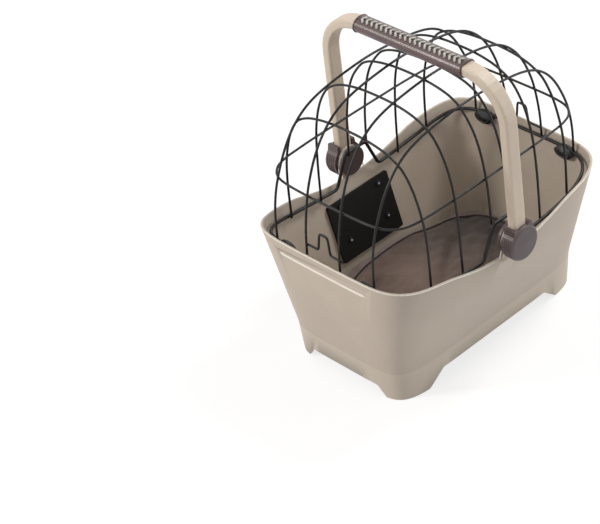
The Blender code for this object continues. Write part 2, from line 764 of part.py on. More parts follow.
def arc_parameters(power, fall, crossings, foot_share, ring_share):
    """Parameters of a hoop from foot to crown, with its crossings among them."""
    exact = [math.asin(share ** (power / 2)) for share in crossings]
    exact.append(math.acos(min(ring_share, 1.0) ** (fall / 2)))
    last = math.acos(foot_share ** (fall / 2))
    steps = list(np.linspace(0.0, last, HOOP_STEPS // 2 + 1))
    for value in exact:
        k = int(np.argmin([abs(value - step) for step in steps[1:-1]])) + 1
        steps[k] = value
    return sorted(steps)


def ring_point_y(x):
    share = abs(x) / (RING_LENGTH / 2)
    return RING_WIDTH / 2 * (1 - share**RIM_POWER) ** (1 / RIM_POWER)


def ring_point_x(y):
    share = abs(y) / (RING_WIDTH / 2)
    return RING_LENGTH / 2 * (1 - share**RIM_POWER) ** (1 / RIM_POWER)


def ring_height(x):
    spot = min(abs(x) / (RING_LENGTH / 2), 1.0)
    drop = RING_DROP * table_value(spot, RIM_SPOT_SHARES, RING_DROP_SHARES)
    return RIM_HEIGHT - RING_BELOW_RIM - drop


FOOT_REACH = RING_RADIUS + WIRE_RADIUS + WELD_GAP
WIRE_PITCH = 2 * WIRE_RADIUS + WELD_GAP


def lean_in(height, foot, amount):
    """How far a hoop's side is drawn in at this height, all of it at the foot."""
    share = (MID_RING_HEIGHT - height) / (MID_RING_HEIGHT - foot)
    return amount * max(share, 0.0) ** 2


def make_cross_hoop(number, x, material):
    on_detour = abs(x) < DETOUR_TOP_WIDTH / 2
    foot = (DETOUR_HEIGHT if on_detour else ring_height(x)) - WIRE_RADIUS
    scale = dome_shape(x, 0.0)
    rise = (DOME_CROWN - DOME_FOOT) * scale
    half = DOME_WIDTH / 2
    crossings = [abs(y) / half for y in LONG_HOOP_SPOTS[:2]]
    parameters = arc_parameters(
        WIDTH_POWER,
        WIDTH_FALL,
        crossings,
        (foot - DOME_FOOT) / rise,
        (MID_RING_HEIGHT - DOME_FOOT) / rise,
    )
    amount = half - (ring_point_y(x) - FOOT_REACH)
    side = []
    for t in parameters:
        y = half * math.sin(t) ** (2 / WIDTH_POWER)
        z = DOME_FOOT + rise * math.cos(t) ** (2 / WIDTH_FALL)
        side.append(Vector((x, y - lean_in(z, foot, amount), z)))
    path = side[::-1] + [Vector((p.x, -p.y, p.z)) for p in side[1:]]
    wire(f"cross_hoop_{number}", path, WIRE_RADIUS, material)


def raised(x, y):
    """Point of a long hoop, lying on the cross hoops."""
    normal = dome_normal(x, y)
    flat = math.hypot(normal.x, normal.z)
    lift = WIRE_PITCH * normal.length / flat
    return Vector((x + lift * normal.x / flat, y, dome_height(x, y) + lift * normal.z / flat))


def make_long_hoop(number, y, material):
    scale = dome_shape(0.0, y)
    rise = (DOME_CROWN - DOME_FOOT) * scale
    half = DOME_LENGTH / 2
    foot = ring_height(RING_LENGTH / 2) - WIRE_RADIUS
    crossings = [abs(x) / half for x in CROSS_HOOP_SPOTS[:3]]
    parameters = arc_parameters(
        LENGTH_POWER,
        LENGTH_FALL,
        crossings,
        (foot - DOME_FOOT) / rise,
        (MID_RING_HEIGHT - DOME_FOOT) / rise,
    )
    amount = half + WIRE_PITCH - (ring_point_x(y) - FOOT_REACH)
    side = []
    for t in parameters:
        point = raised(half * math.sin(t) ** (2 / LENGTH_POWER), y)
        side.append(point - Vector((lean_in(point.z, foot, amount), 0, 0)))
    path = side[::-1] + [Vector((-p.x, p.y, p.z)) for p in side[1:]]
    wire(f"long_hoop_{number}", path, WIRE_RADIUS, material)
    return side


def mid_ring_spot(y):
    """Where the ring passes at this y: outside the cross hoops, and inside the long ones."""
    share = (MID_RING_HEIGHT - DOME_FOOT) / (DOME_CROWN - DOME_FOOT)
    across = (1 - (abs(y) / (DOME_WIDTH / 2)) ** WIDTH_POWER) ** (1 / WIDTH_FALL)
    along = 1 - min(share / across, 1.0) ** LENGTH_FALL
    x = DOME_LENGTH / 2 * along ** (1 / LENGTH_POWER)
    normal = dome_normal(x, y)
    flat = math.hypot(normal.x, normal.y)
    facing = (normal.x / flat) ** 2
    low, high = CORNER_SHARES
    layers = 1 - eased((facing - low) / (high - low))
    lift = WIRE_PITCH * layers * normal.length / flat
    return x + lift * normal.x / flat, y + lift * normal.y / flat


def make_mid_ring(material):
    share = (MID_RING_HEIGHT - DOME_FOOT) / (DOME_CROWN - DOME_FOOT)
    reach = DOME_WIDTH / 2 * (1 - share**WIDTH_FALL) ** (1 / WIDTH_POWER)
    spots = [reach * math.sin(90 * DEG * k / MID_RING_STEPS) for k in range(MID_RING_STEPS)]
    for x in CROSS_HOOP_SPOTS[3:]:
        needed = share / dome_shape(x, 0.0)
        spots.append(DOME_WIDTH / 2 * (1 - needed**WIDTH_FALL) ** (1 / WIDTH_POWER))
    for y in LONG_HOOP_SPOTS[:2]:
        k = int(np.argmin([abs(y - spot) for spot in spots[:MID_RING_STEPS]]))
        spots[k] = y
    quarter = [mid_ring_spot(y) for y in sorted(spots)]
    top = (0.0, quarter[-1][1])
    corner = quarter + [top]
    first = corner[:-1]
    second = [(-x, y) for x, y in corner[:0:-1]]
    third = [(-x, -y) for x, y in corner[:-1]]
    fourth = [(x, -y) for x, y in corner[:0:-1]]
    points = level(first + second + third + fourth, MID_RING_HEIGHT)
    wire("mid_ring", points, WIRE_RADIUS, material, closed=True)


def ring_path():
    """Base ring inside the rim, stepping over the hub caps at the middle of both long sides."""
    plan = outline(RING_LENGTH / 2, RING_WIDTH / 2, RIM_POWER)
    keep = [
        Vector((x, y, ring_height(x)))
        for x, y in plan
        if abs(x) > DETOUR_BASE / 2 + DETOUR_ROUND
    ]
    result = []
    for side in (1, -1):
        shift = [p for p in keep if p.y * side > 0 or (p.y == 0 and p.x * side > 0)]
        ahead = [p for p in shift if p.x * side > 0]
        behind = [p for p in shift if p.x * side < 0]
        corners = []
        for x in (DETOUR_BASE / 2, DETOUR_TOP_WIDTH / 2, -DETOUR_TOP_WIDTH / 2, -DETOUR_BASE / 2):
            high = abs(x) < DETOUR_BASE / 2
            z = DETOUR_HEIGHT if high else ring_height(x)
            corners.append(Vector((x * side, side * ring_point_y(x), z)))
        bend = rounded([ahead[-1]] + corners + [behind[0]], DETOUR_ROUND, closed=False)
        result += ahead[:-1] + bend + behind[1:]
    return result


def make_pull_loops(hoop, material):
    """Short wires across the two middle long hoops at each end, with a finger hump."""
    half = LONG_HOOP_SPOTS[1] + PULL_OVERHANG
    heights = [p.z for p in hoop][::-1]
    reaches = [p.x for p in hoop][::-1]
    x = float(np.interp(PULL_HEIGHT, heights, reaches)) - WIRE_PITCH
    path = [
        Vector((x, -half, PULL_HEIGHT)),
        Vector((x, -PULL_FOOT / 2, PULL_HEIGHT)),
        Vector((x, -PULL_WIDTH / 2, PULL_TOP)),
        Vector((x, PULL_WIDTH / 2, PULL_TOP)),
        Vector((x, PULL_FOOT / 2, PULL_HEIGHT)),
        Vector((x, half, PULL_HEIGHT)),
    ]
    path = rounded(path, PULL_ROUND, closed=False)
    wire("pull_loop_1", path, WIRE_RADIUS, material)
    wire("pull_loop_2", [Vector((-p.x, p.y, p.z)) for p in path], WIRE_RADIUS, material)


def probe(shape, start, direction):
    spot, _, _, _ = shape.ray_cast(Vector(start), Vector(direction))
    return spot


def oval_outline(width, height):
    points = []
    for k in range(ROUND_STEPS):
        angle = 360 * DEG * k / ROUND_STEPS
        points.append((width / 2 * math.cos(angle), height / 2 * math.sin(angle), 0.0))
    return points


def make_clips(tub, shape, ring, material):
    """Four oval clips on the end walls, with a peg in the wall and an open groove for the ring."""
    number = 0
    for end in (1, -1):
        for side in (1, -1):
            number += 1
            y = side * CLIP_SPOT
            ring_z = ring_height(RING_LENGTH / 2)
            middle = ring_z + CLIP_ABOVE_RING - CLIP_HEIGHT / 2
            inner = ring_point_x(y) - RING_RADIUS - RUN_GAP - CLIP_LIP
            reach = CLIP_WIDTH
            spot = (end * (inner + reach / 2), y, middle)
            oval = oval_outline(CLIP_WIDTH, CLIP_HEIGHT)
            body = slab(f"ring_clip_{number}", [oval], reach, spot, ALONG_X, material)
            small = oval_outline(CLIP_WIDTH * CLIP_BOSS_SHARE, CLIP_HEIGHT * CLIP_BOSS_SHARE)
            spot = (end * (inner + CLIP_LIP / 2 - CLIP_BOSS_RISE), y, middle)
            boss = slab(f"clip_boss_{number}", [small], CLIP_LIP, spot, ALONG_X)
            back = wall_cutter(f"clip_back_{number}", end, y, middle, shape)
            groove = groove_cutter(f"clip_groove_{number}", ring, end, y)
            peg_z = ring_z - PEG_DROP
            wall = abs(probe(shape, (0, y, peg_z), (end, 0, 0)).x)
            outward = (0, 90 * DEG * end, 0)
            place = (end * wall, y, peg_z)
            peg = rod_profile(PEG_RADIUS, -CLIP_LIP, WALL - SEAT_GAP)
            bore = rod_profile(PEG_RADIUS + SEAT_GAP, -CUT_MARGIN, CUT_MARGIN)
            cut(body, back, groove)
            join(body, turned(f"clip_peg_{number}", peg, place, outward, steps=BORE_STEPS), boss)
            cut(tub, turned(f"peg_bore_{number}", bore, place, outward, steps=BORE_STEPS))


def wall_cutter(name, end, y, height, shape):
    """Everything outside the tub's end wall, a seat gap in from it."""
    low = height - CLIP_HEIGHT
    high = height + CLIP_HEIGHT
    edge = y + math.copysign(CLIP_WIDTH / 2, y)
    touch = probe(shape, (0, edge, height), (end, 0, 0))
    near = abs(touch.x) - SEAT_GAP / math.cos(END_TAPER)
    lean = math.tan(END_TAPER) * CLIP_HEIGHT
    far = near + 2 * CLIP_WIDTH
    if end > 0:
        corners = [(near - lean, low), (far, low), (far, high), (near + lean, high)]
    else:
        corners = [(-near + lean, low), (-near - lean, high), (-far, high), (-far, low)]
    points = [(x, z, 0.0) for x, z in corners]
    return slab(name, [points], 2 * CLIP_WIDTH, (0, y, 0), ALONG_Y)


def groove_cutter(name, ring, end, y):
    """Slot along the ring's own path, round below and open above."""
    path = [
        p
        for p in ring
        if p.x * end > 0 and abs(p.y - y) < GROOVE_REACH and abs(p.x) > DETOUR_BASE
    ]
    radius = RING_RADIUS + RUN_GAP
    rings = []
    for i, point in enumerate(path):
        before = path[max(i - 1, 0)]
        after = path[min(i + 1, len(path) - 1)]
        along = (after - before).normalized()
        side = Vector((along.y, -along.x, 0.0))
        section = [point + side * radius + Vector((0, 0, CLIP_HEIGHT))]
        for k in range(GROOVE_STEPS + 1):
            angle = 180 * DEG * k / GROOVE_STEPS
            drop = Vector((0, 0, -radius * math.sin(angle)))
            section.append(point + side * radius * math.cos(angle) + drop)
        section.append(point - side * radius + Vector((0, 0, CLIP_HEIGHT)))
        rings.append(section)
    return loft(name, rings)


def make_each(name, profile, places, material):
    """Equal turned pieces, numbered from 1."""
    for number, (spot, turn) in enumerate(places, 1):
        turned(f"{name}_{number}", profile, spot, turn, material, BORE_STEPS)


def touches(shape, middle, direction, up, width, height):
    """Distances to the wall from a grid of points on a plate's face."""
    result = []
    for across in SEAT_GRID_SHARES:
        for rise in SEAT_GRID_SHARES:
            start = middle + Vector((across * width, 0, 0)) + up * rise * height
            result.append((probe(shape, start, direction) - start).length)
    return result


def make_mounting(tub, shape, finishes):
    """Plate inside, bracket outside, and the four bolts and nuts through the wall."""
    half = PLATE_WIDTH / 2
    top = PLATE_TOP
    low = PLATE_TOP - PLATE_HEIGHT
    edge_high = probe(shape, (half, 0, top), (0, 1, 0)).y
    edge_low = probe(shape, (half, 0, low), (0, 1, 0)).y
    tilt = math.atan2(edge_high - edge_low, top - low)
    across = Vector((0, math.cos(tilt), -math.sin(tilt)))
    up = Vector((0, math.sin(tilt), math.cos(tilt)))
    start = Vector((PLATE_SHIFT, edge_low, low)) + up * PLATE_HEIGHT / 2 - across * CUT_MARGIN
    touch = min(touches(shape, start, across, up, PLATE_WIDTH, PLATE_HEIGHT))
    middle = start + across * (touch - SEAT_GAP - PLATE_THICKNESS / 2)
    turn = (90 * DEG - tilt, 0, 0)
    board = rounded(rectangle(PLATE_WIDTH, PLATE_HEIGHT), PLATE_CORNER)
    plate = slab("inner_plate", [board], PLATE_THICKNESS, middle, turn, finishes["plate"])
    centre = middle - across * PLATE_THICKNESS / 2 + up * BOLT_LIFT
    far = centre + across * BRACKET_HEIGHT
    near = min(touches(shape, far, -across, up, BRACKET_WIDTH, BRACKET_HEIGHT))
    reach = BRACKET_HEIGHT - near + SEAT_GAP
    bolts = []
    for x in (-BOLT_SPREAD / 2, BOLT_SPREAD / 2):
        for rise in (-BOLT_RISE / 2, BOLT_RISE / 2):
            head = centre + up * rise + Vector((x, 0, 0))
            bolts.append((head, turn))
    bracket = make_bracket(centre, across, up, reach, finishes["bracket"])
    nut_seat = reach + BRACKET_PAD
    radius = BOLT_RADIUS + SEAT_GAP
    well = NUT_RADIUS + 2 * SEAT_GAP
    far = -nut_seat - BRACKET_HEIGHT
    stepped = [
        (0.0, CUT_MARGIN),
        (radius, CUT_MARGIN),
        (radius, -nut_seat),
        (well, -nut_seat),
        (well, far),
        (0.0, far),
    ]
    for number, (spot, bolt_turn) in enumerate(bolts):
        bore = turned(f"bolt_bore_{number}", stepped, spot, bolt_turn, steps=BORE_STEPS)
        cut(plate, bore)
        cut(tub, bore)
        cut(bracket, bore)
    shank = nut_seat + NUT_HEIGHT
    profile = rod_profile(
        BOLT_HEAD_RADIUS, SEAT_GAP, SEAT_GAP + BOLT_HEAD_HEIGHT, BOLT_HEAD_HEIGHT / 2
    )
    profile[-1] = (BOLT_RADIUS, SEAT_GAP)
    profile += [(BOLT_RADIUS, -shank), (0.0, -shank)]
    make_each("plate_bolt", profile, bolts, finishes["steel"])
    make_nuts(bolts, nut_seat + SEAT_GAP, finishes["steel"])


def make_nuts(places, depth, material):
    """Six-sided nuts that the bolts run through."""
    hexagon = [
        (NUT_RADIUS * math.cos(60 * DEG * k), NUT_RADIUS * math.sin(60 * DEG * k), 0.0)
        for k in range(6)
    ]
    bore = BOLT_RADIUS + RUN_GAP
    hole = [
        (bore * math.cos(30 * DEG * k), bore * math.sin(30 * DEG * k), 0.0) for k in range(12)
    ]
    for number, (spot, turn) in enumerate(places, 1):
        axis = Vector((0, math.sin(turn[0]), -math.cos(turn[0])))
        place = spot + axis * (depth + NUT_HEIGHT / 2)
        slab(f"plate_nut_{number}", [hexagon, hole], NUT_HEIGHT, place, turn, material)


def make_bracket(centre, across, up, reach, material):
    """Wedge that turns the sloping wall into an upright face, with a hook along its top."""
    seat = centre + across * reach
    low = seat - up * BRACKET_HEIGHT / 2
    high = seat + up * BRACKET_HEIGHT / 2
    tip = BRACKET_FACE + BRACKET_HOOK_REACH
    corners = [
        (low.y, low.z, 0.0),
        (BRACKET_FACE, low.z, 0.0),
        (BRACKET_FACE, high.z - BRACKET_HOOK_THICKNESS, 0.0),
        (tip - BRACKET_HOOK_THICKNESS, high.z - BRACKET_HOOK_THICKNESS, 0.0),
        (tip - BRACKET_HOOK_THICKNESS, high.z - BRACKET_HOOK_DROP, 0.0),
        (tip, high.z - BRACKET_HOOK_DROP, 0.0),
        (tip, high.z, 0.0),
        (high.y, high.z, 0.0),
    ]
    return slab("bike_bracket", [corners], BRACKET_WIDTH, (centre.x, 0, 0), ALONG_X, material)


def raised_border(points, height, rise):
    """A ring of the cushion, drawn up and out along the wall below the mounting plate."""
    reach = max(y for _, y in points)
    result = []
    for x, y in points:
        beside = BORDER_FULL + BORDER_FADE - abs(x - BORDER_MIDDLE)
        share = rise * eased(beside / BORDER_FADE) * (max(y, 0.0) / reach) ** 2
        result.append(Vector((x, y + BORDER_PUSH * share, height + BORDER_LIFT * share)))
    return result


def make_cushion(material):
    """Crowned pad that fills the floor, with sides that draw in above and below their middle."""
    half_x = CREASE_LENGTH / 2 - SKIRT_INSET - WALL - CUSHION_INSET
    half_y = CREASE_WIDTH / 2 - SKIRT_INSET - WALL - CUSHION_INSET
    base = FLOOR_HEIGHT + SEAT_GAP
    angles = quarter_angles(half_x, half_y, CUSHION_POWER, CUSHION_SIDES // 4)
    edge = CUSHION_THICKNESS / 2
    rings = []
    for share in CUSHION_BASE_SHARES:
        under = outline((half_x - edge) * share, (half_y - edge) * share, CUSHION_POWER, angles)
        rings.append(level(under, base))
    for k in range(1 - CUSHION_EDGE_STEPS, CUSHION_EDGE_STEPS):
        angle = 90 * DEG * k / CUSHION_EDGE_STEPS
        inset = FLOOR_FILLET / 2 + edge * (1 - math.cos(angle))
        height = base + edge + edge * math.sin(angle)
        flank = outline(half_x - inset, half_y - inset, CUSHION_POWER, angles)
        rings.append(raised_border(flank, height, max(math.sin(angle), 0.0)))
    for share in CUSHION_TOP_SHARES:
        height = base + CUSHION_THICKNESS + CUSHION_CROWN * (1 - share**2)
        power = blend(CUSHION_MIDDLE_POWER, CUSHION_POWER, share)
        crown = outline(half_x * share, half_y * share, power, angles)
        rings.append(raised_border(crown, height, share**2))
    loft("cushion", rings, material)


def tip_handle(made):
    """Turns the finished swinging pieces about the pivots, to where the handle rests."""
    bpy.context.view_layer.update()
    pivot = Matrix.Translation((0, 0, PIVOT_HEIGHT))
    turn = pivot @ Matrix.Rotation(HANDLE_TIP, 4, "Y") @ pivot.inverted()
    for obj in [piece for piece in PARTS.objects if piece in made]:
        shape = settle(obj)
        shape.transform(turn)
        obj.modifiers.clear()
        obj.data = shape


def main():
    shell = finish("shell_beige", (0.48, 0.40, 0.31), 0.45)
    frame = finish("handle_cream", (0.62, 0.52, 0.40), 0.42)
    sleeve = finish("grip_leather", (0.09, 0.045, 0.038), 0.5)
    brown = finish("hub_brown", (0.085, 0.06, 0.058), 0.35)
    black = finish("wire_black", (0.012, 0.012, 0.012), 0.35)
    clip = finish("clip_black", (0.015, 0.015, 0.015), 0.5)
    board = finish("plate_black", (0.01, 0.01, 0.009), 0.55)
    steel = finish("bolt_steel", (0.35, 0.35, 0.36), 0.35, 1.0)
    fabric = finish("cushion_fabric", (0.13, 0.085, 0.07), 0.85)

    tub = make_tub(shell)
    bpy.context.view_layer.update()
    shape = BVHTree.FromObject(tub, bpy.context.evaluated_depsgraph_get())
    cut_feet(tub)
    cut_ledges(tub)
    add_ears(tub)
    ring = ring_path()
    wire("base_ring", ring, RING_RADIUS, black, closed=True)
    for number, x in enumerate(CROSS_HOOP_SPOTS, 1):
        make_cross_hoop(number, x, black)
    sides = [make_long_hoop(number, y, black) for number, y in enumerate(LONG_HOOP_SPOTS, 1)]
    make_mid_ring(black)
    make_pull_loops(sides[1], black)
    make_clips(tub, shape, ring, clip)
    make_mounting(tub, shape, {"plate": board, "bracket": board, "steel": steel})
    before = set(bpy.data.objects)
    for side, letter in ((1, "a"), (-1, "b")):
        make_hub(side, letter, brown, steel)
    make_handle(frame, sleeve)
    tip_handle(set(bpy.data.objects) - before)
    make_cushion(fabric)


main()
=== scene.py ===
# Dog basket for a bicycle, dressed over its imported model.
# Metres, +Z up. The bicycle is on the +Y side, and the photograph looks from -X and -Y.

import math

import bmesh
import bpy
import numpy as np
from mathutils import Matrix, Vector
from mathutils.bvhtree import BVHTree


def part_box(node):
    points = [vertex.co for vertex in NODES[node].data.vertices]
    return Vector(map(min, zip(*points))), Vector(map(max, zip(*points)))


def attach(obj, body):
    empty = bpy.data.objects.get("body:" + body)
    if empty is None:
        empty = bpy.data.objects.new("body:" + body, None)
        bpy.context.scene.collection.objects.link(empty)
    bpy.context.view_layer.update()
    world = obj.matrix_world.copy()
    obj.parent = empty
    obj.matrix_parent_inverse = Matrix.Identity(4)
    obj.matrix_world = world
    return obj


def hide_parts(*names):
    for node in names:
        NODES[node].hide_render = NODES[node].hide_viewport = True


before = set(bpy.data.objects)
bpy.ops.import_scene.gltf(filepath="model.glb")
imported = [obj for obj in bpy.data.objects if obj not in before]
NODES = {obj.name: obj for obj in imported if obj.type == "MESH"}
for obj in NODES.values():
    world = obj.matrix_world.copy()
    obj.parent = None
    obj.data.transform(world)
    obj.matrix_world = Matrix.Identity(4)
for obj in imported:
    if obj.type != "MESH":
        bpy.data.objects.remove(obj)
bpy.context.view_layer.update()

MM = 0.001
DEG = math.pi / 180

# Camera, from the photograph
VIEW_AZIMUTH = -0.70252
VIEW_ELEVATION = 0.63660
VIEW_ROLL = 0.12423
VIEW_RIGHT = 218.60 * MM
VIEW_UP = -110.38 * MM
VIEW_DISTANCE = 3634.32 * MM
FOCAL_PIXELS = 2161.3
FRAME_PIXELS = 600
SENSOR = 36.0
FAR_CLIP = 4 * VIEW_DISTANCE

# Finishes, as sRGB values from 0 to 255
SHELL_COLOUR = (200, 186, 170)
# The skirt's colour, lighter than the shell's, is painted light on the band below the crease
SKIRT_PAINTED_LIGHT_COLOUR = (209, 196, 179)
HANDLE_COLOUR = (220, 203, 183)
SLEEVE_COLOUR = (84, 56, 54)
HUB_COLOUR = (89, 75, 75)
WIRE_COLOUR = (26, 25, 25)
CLIP_COLOUR = (30, 30, 30)
# The lighter grey of the clip rings is a painted highlight on the dark clips
CLIP_RIM_HIGHLIGHT_COLOUR = (62, 62, 64)
PLATE_COLOUR = (15, 14, 12)
STEEL_COLOUR = (150, 152, 156)
HEAD_COLOUR = (24, 24, 25)
SOCKET_COLOUR = (168, 174, 184)
# The near-white of the ledge and rim beads is a painted highlight
LIP_HIGHLIGHT_COLOUR = (246, 240, 230)
CUSHION_COLOUR = (154, 129, 116)
BORDER_COLOUR = (146, 126, 122)
PIPING_COLOUR = (50, 38, 33)
LACE_COLOUR = (252, 242, 228)
SEAM_COLOUR = (48, 34, 32)

# Scales in the finishes are per metre. A colour share is a share of the finish's own colour, and a
# mix share says how much of a second pattern shows over the first.

# Moulded plastic. The last two are the cosines of a turn that leaves an edge as it is, and of one
# that lightens it fully: worn by rubbing, and on the shell a painted highlight.
MOTTLE_SCALE = 14.0
MOTTLE_COLOUR_SHARE = 0.965
SPECK_SCALE_SHARE = 0.45
SPECK_COLOUR_SHARE = 0.93
SPECK_MIX_SHARE = 0.35
SCUFF_SCALES = (40.0, 40.0, 220.0)
SCUFF_DULLING = 0.14
GRAIN_DEPTH = 0.3 * MM
EDGE_SAMPLES = 4
EDGE_NONE = 0.995
EDGE_ALL = 0.86

# Powder coat on the wires
COAT_SPECULAR = 0.3
COAT_SCALE = 60.0
COAT_COLOUR_SHARES = (0.85, 1.25)
COAT_DULLING = 0.12
PEEL_SCALE = 900.0
PEEL_STRENGTH = 0.3
PEEL_DEPTH = 0.2 * MM

# Plated steel
SPOT_SCALE = 300.0
SPOT_COLOUR_SHARE = 0.8
SPOT_ROUGHNESS = 0.42
STEEL_ROUGHNESS = 0.26
MARK_SCALES = (900.0, 3000.0, 900.0)
MARK_STRENGTH = 0.2
MARK_DEPTH = 0.1 * MM

# Leather
LEATHER_SHEEN = 0.1
LEATHER_SPECULAR = 0.85
LEATHER_COLOUR_SHARES = (0.86, 1.14)
LEATHER_ROUGHNESS = 0.38
WORN_ROUGHNESS = 0.28
WORN_SCALE = 26.0
CELL_SCALE = 620.0
CELL_COLOUR_SHARE = 0.78
CELL_MIX_SHARE = 0.7
PORE_SCALE = 1500.0
PORE_HEIGHT_SHARE = 0.3
LEATHER_STRENGTH = 0.45
LEATHER_DEPTH = 0.35 * MM

# Cloth
CLOTH_SHEEN = 0.15
CLOTH_SHEEN_ROUGHNESS = 0.45
WEAVE_DISTORTION = 0.6
WEAVE_DETAIL = 1.0
WEAVE_DETAIL_SCALE = 3.0
WEAVE_COLOUR_SHARE = 0.8
WEAVE_MIX_SHARE = 0.6
YARN_SCALES = (500.0, 90.0, 500.0)
CROSS_SCALES = (90.0, 500.0, 500.0)
FLECK_COLOUR_SHARE = 0.72
FLECK_MIX_SHARE = 0.8
FLECK_HEIGHT_SHARE = 0.4
FADING_SCALE = 11.0
FADING_COLOUR_SHARES = (0.9, 1.08)
FADING_ROUGHNESS = (0.95, 0.82)
CLOTH_DEPTH = 0.4 * MM
CUSHION_THREAD = 1.6 * MM
PIPING_THREAD = 1.0 * MM
LACE_THREAD = 0.7 * MM

# Painted shade along the cushion: places from its -X end to its +X end, and the colour share at
# each
# The colour darkens towards the +X end, where the walls shade the cushion
CUSHION_SHADE_LENGTH = 400 * MM
CUSHION_SHADE_SHARES = ((0.2, 1.0), (0.6, 0.4), (0.9, 0.13))

# End walls of the tub, the grip ledges in them, and the height that the photograph gives these
WALL_FOOT_X = 222.5 * MM
WALL_FOOT_Z = 61 * MM
WALL_TOP_X = 250 * MM
WALL_TOP_Z = 252.5 * MM
LEDGE_LOW = 214 * MM
LEDGE_TOP = 242 * MM
LEDGE_RAISED = 226.5 * MM
LEDGE_HALF = 98.5 * MM
LEDGE_DEPTH = 3 * MM

# Bores in the end walls for the pegs of the clips
PEG_Y = 88 * MM
PEG_Z = 231.5 * MM
PEG_BORE = 3.5 * MM

# Crease above the skirt, and the skirt's taper towards the feet
CREASE_LOW = 55 * MM
CREASE_HIGH = 67 * MM
LEVEL_TOLERANCE = 2 * MM
SKIRT_TOP = 70 * MM
SKIRT_TAPER = 0.015
SHARP_ANGLE = 32 * DEG
# A face lies along an axis where its normal has less than this share of that axis
ALONG_SHARE = 0.5

# Near-white beads along the ledges and the outer edge of the rim: painted highlights
LIP_HALF = 95 * MM
LIP_RADIUS = 2.0 * MM
LIP_FADE = 8 * MM
LIP_POINTS = 60
RIM_FLOOR = 190 * MM
RIM_NEAR = WALL_FOOT_X / 2
RIM_FAR = 2 * WALL_TOP_X
RIM_ABOVE = 2 * WALL_TOP_Z
RIM_POINTS = 240
RIM_STEPS = 16
RIM_EDGE_INSET = 0.6 * MM
RIM_EDGE_RADIUS = 0.9 * MM

# Rounding of the wires, which are swollen first because the rounding draws them in
WIRE_PREFIXES = ("base_ring", "mid_ring", "cross_hoop", "long_hoop", "pull_loop")
WIRE_SWELL = 0.2 * MM
WIRE_END_ANGLE = 70 * DEG
WIRE_LEVELS = 2
QUAD_ANGLE = 90 * DEG

# How the photograph's dome differs from the plain arcs of its hoops: it is fuller at the
# shoulders, its ends stand further out and lower, and the middle ring is narrower.
DOME_FOOT = 262 * MM
DOME_FOOT_FADE = 80 * MM
END_FROM = 150 * MM
END_FADE = 75 * MM
END_OUT_HIGH = 3 * MM
END_OUT_LOW = 6 * MM
RING_OUT = 1.8 * MM
LOW_FROM = 110 * MM
LOW_FADE = 90 * MM
LOW_DROP = 3.2 * MM
SHOULDER_FROM = 95 * MM
SHOULDER_FADE = 60 * MM
SHOULDER_HEIGHT = 360 * MM
SHOULDER_RISE = 6 * MM
MID_RING_WIDTH_SHARE = 0.95

# Clips, which sit lower than their solids, with pegs that end inside the wall
CLIP_NUMBERS = range(1, 5)
CLIP_DROP = 2.5 * MM
PEG_END = 243.8 * MM
CLIP_RING_WIDTH = 25 * MM
CLIP_RING_HEIGHT = 14.5 * MM
CLIP_RING_RADIUS = 0.9 * MM
CLIP_RING_POINTS = 32

# Sockets in the plate's bolts
BOLT_NUMBERS = range(1, 5)
SOCKET_RADIUS = 1.9 * MM
SOCKET_RISE = 0.25 * MM
SOCKET_SIDES = 12
CAP_BAND = 0.1 * MM

# Cushion, inside the space of its solid: shrunk and smoothed first, then blown up as cloth
CUSHION_VOXEL = 5 * MM
CUSHION_SHRINK = 2.5 * MM
RELAX_FACTOR = 0.5
RELAX_STEPS = 6
CUSHION_FRAMES = 20
CUSHION_CAP = 3.5 * MM
CUSHION_LEAST_MOVE = CUSHION_CAP / 1000
CUSHION_CLOTH = {
    "quality": 6,
    "mass": 0.3,
    "tension_stiffness": 12,
    "compression_stiffness": 12,
    "shear_stiffness": 5,
    "bending_stiffness": 1,
    "use_pressure": True,
    "uniform_pressure_force": 4.0,
}
# The seam and the folds fade in over the upper part of the pad
CROWN_SLOPE = 2
CROWN_OFFSET = 0.9
# The ends and the near side are drawn in at mid height, and not in the corners
CUSHION_WAIST = 2.5 * MM
WAIST_POWER = 6

# Seam round the top of the pad, with the piping in it
SEAM_INSET = 20 * MM
SEAM_FAR_INSET = 11 * MM
SEAM_POWER = 2.5
SEAM_SHEAR = 0.045
SEAM_POINTS = 160
SEAM_DEPTH = 4 * MM
SEAM_SPREAD = 6 * MM
PIPING_RADIUS = 1.9 * MM
PIPING_SMOOTHING = 4

FOLD_SPREAD = 11 * MM
# Each fold runs from one place on the cushion to another, as shares of its half length and width,
# and is this deep: a valley where it is positive, a ridge where it is negative.
FOLDS = (
    ((-0.30, -0.60), (0.42, 0.34), 11.0 * MM),
    ((-0.46, -0.40), (0.24, 0.55), -3.0 * MM),
    ((-0.10, -0.85), (0.58, 0.05), -3.0 * MM),
    ((0.16, -0.90), (0.72, 0.00), 9.0 * MM),
    ((-0.78, -0.10), (-0.40, 0.55), 7.0 * MM),
    ((0.55, 0.30), (0.78, 0.66), 5.0 * MM),
    ((-0.70, -0.70), (-0.35, -0.10), 4.0 * MM),
)
# Wrinkles of the cover: how many cross the half length and the half width, and their height
WRINKLES = (
    (5.0, -7.0, 1.4 * MM),
    (9.0, 4.0, 0.9 * MM),
    (3.0, 11.0, 0.9 * MM),
    (14.0, -9.0, 0.5 * MM),
)
WRINKLE_BREAK = 0.5

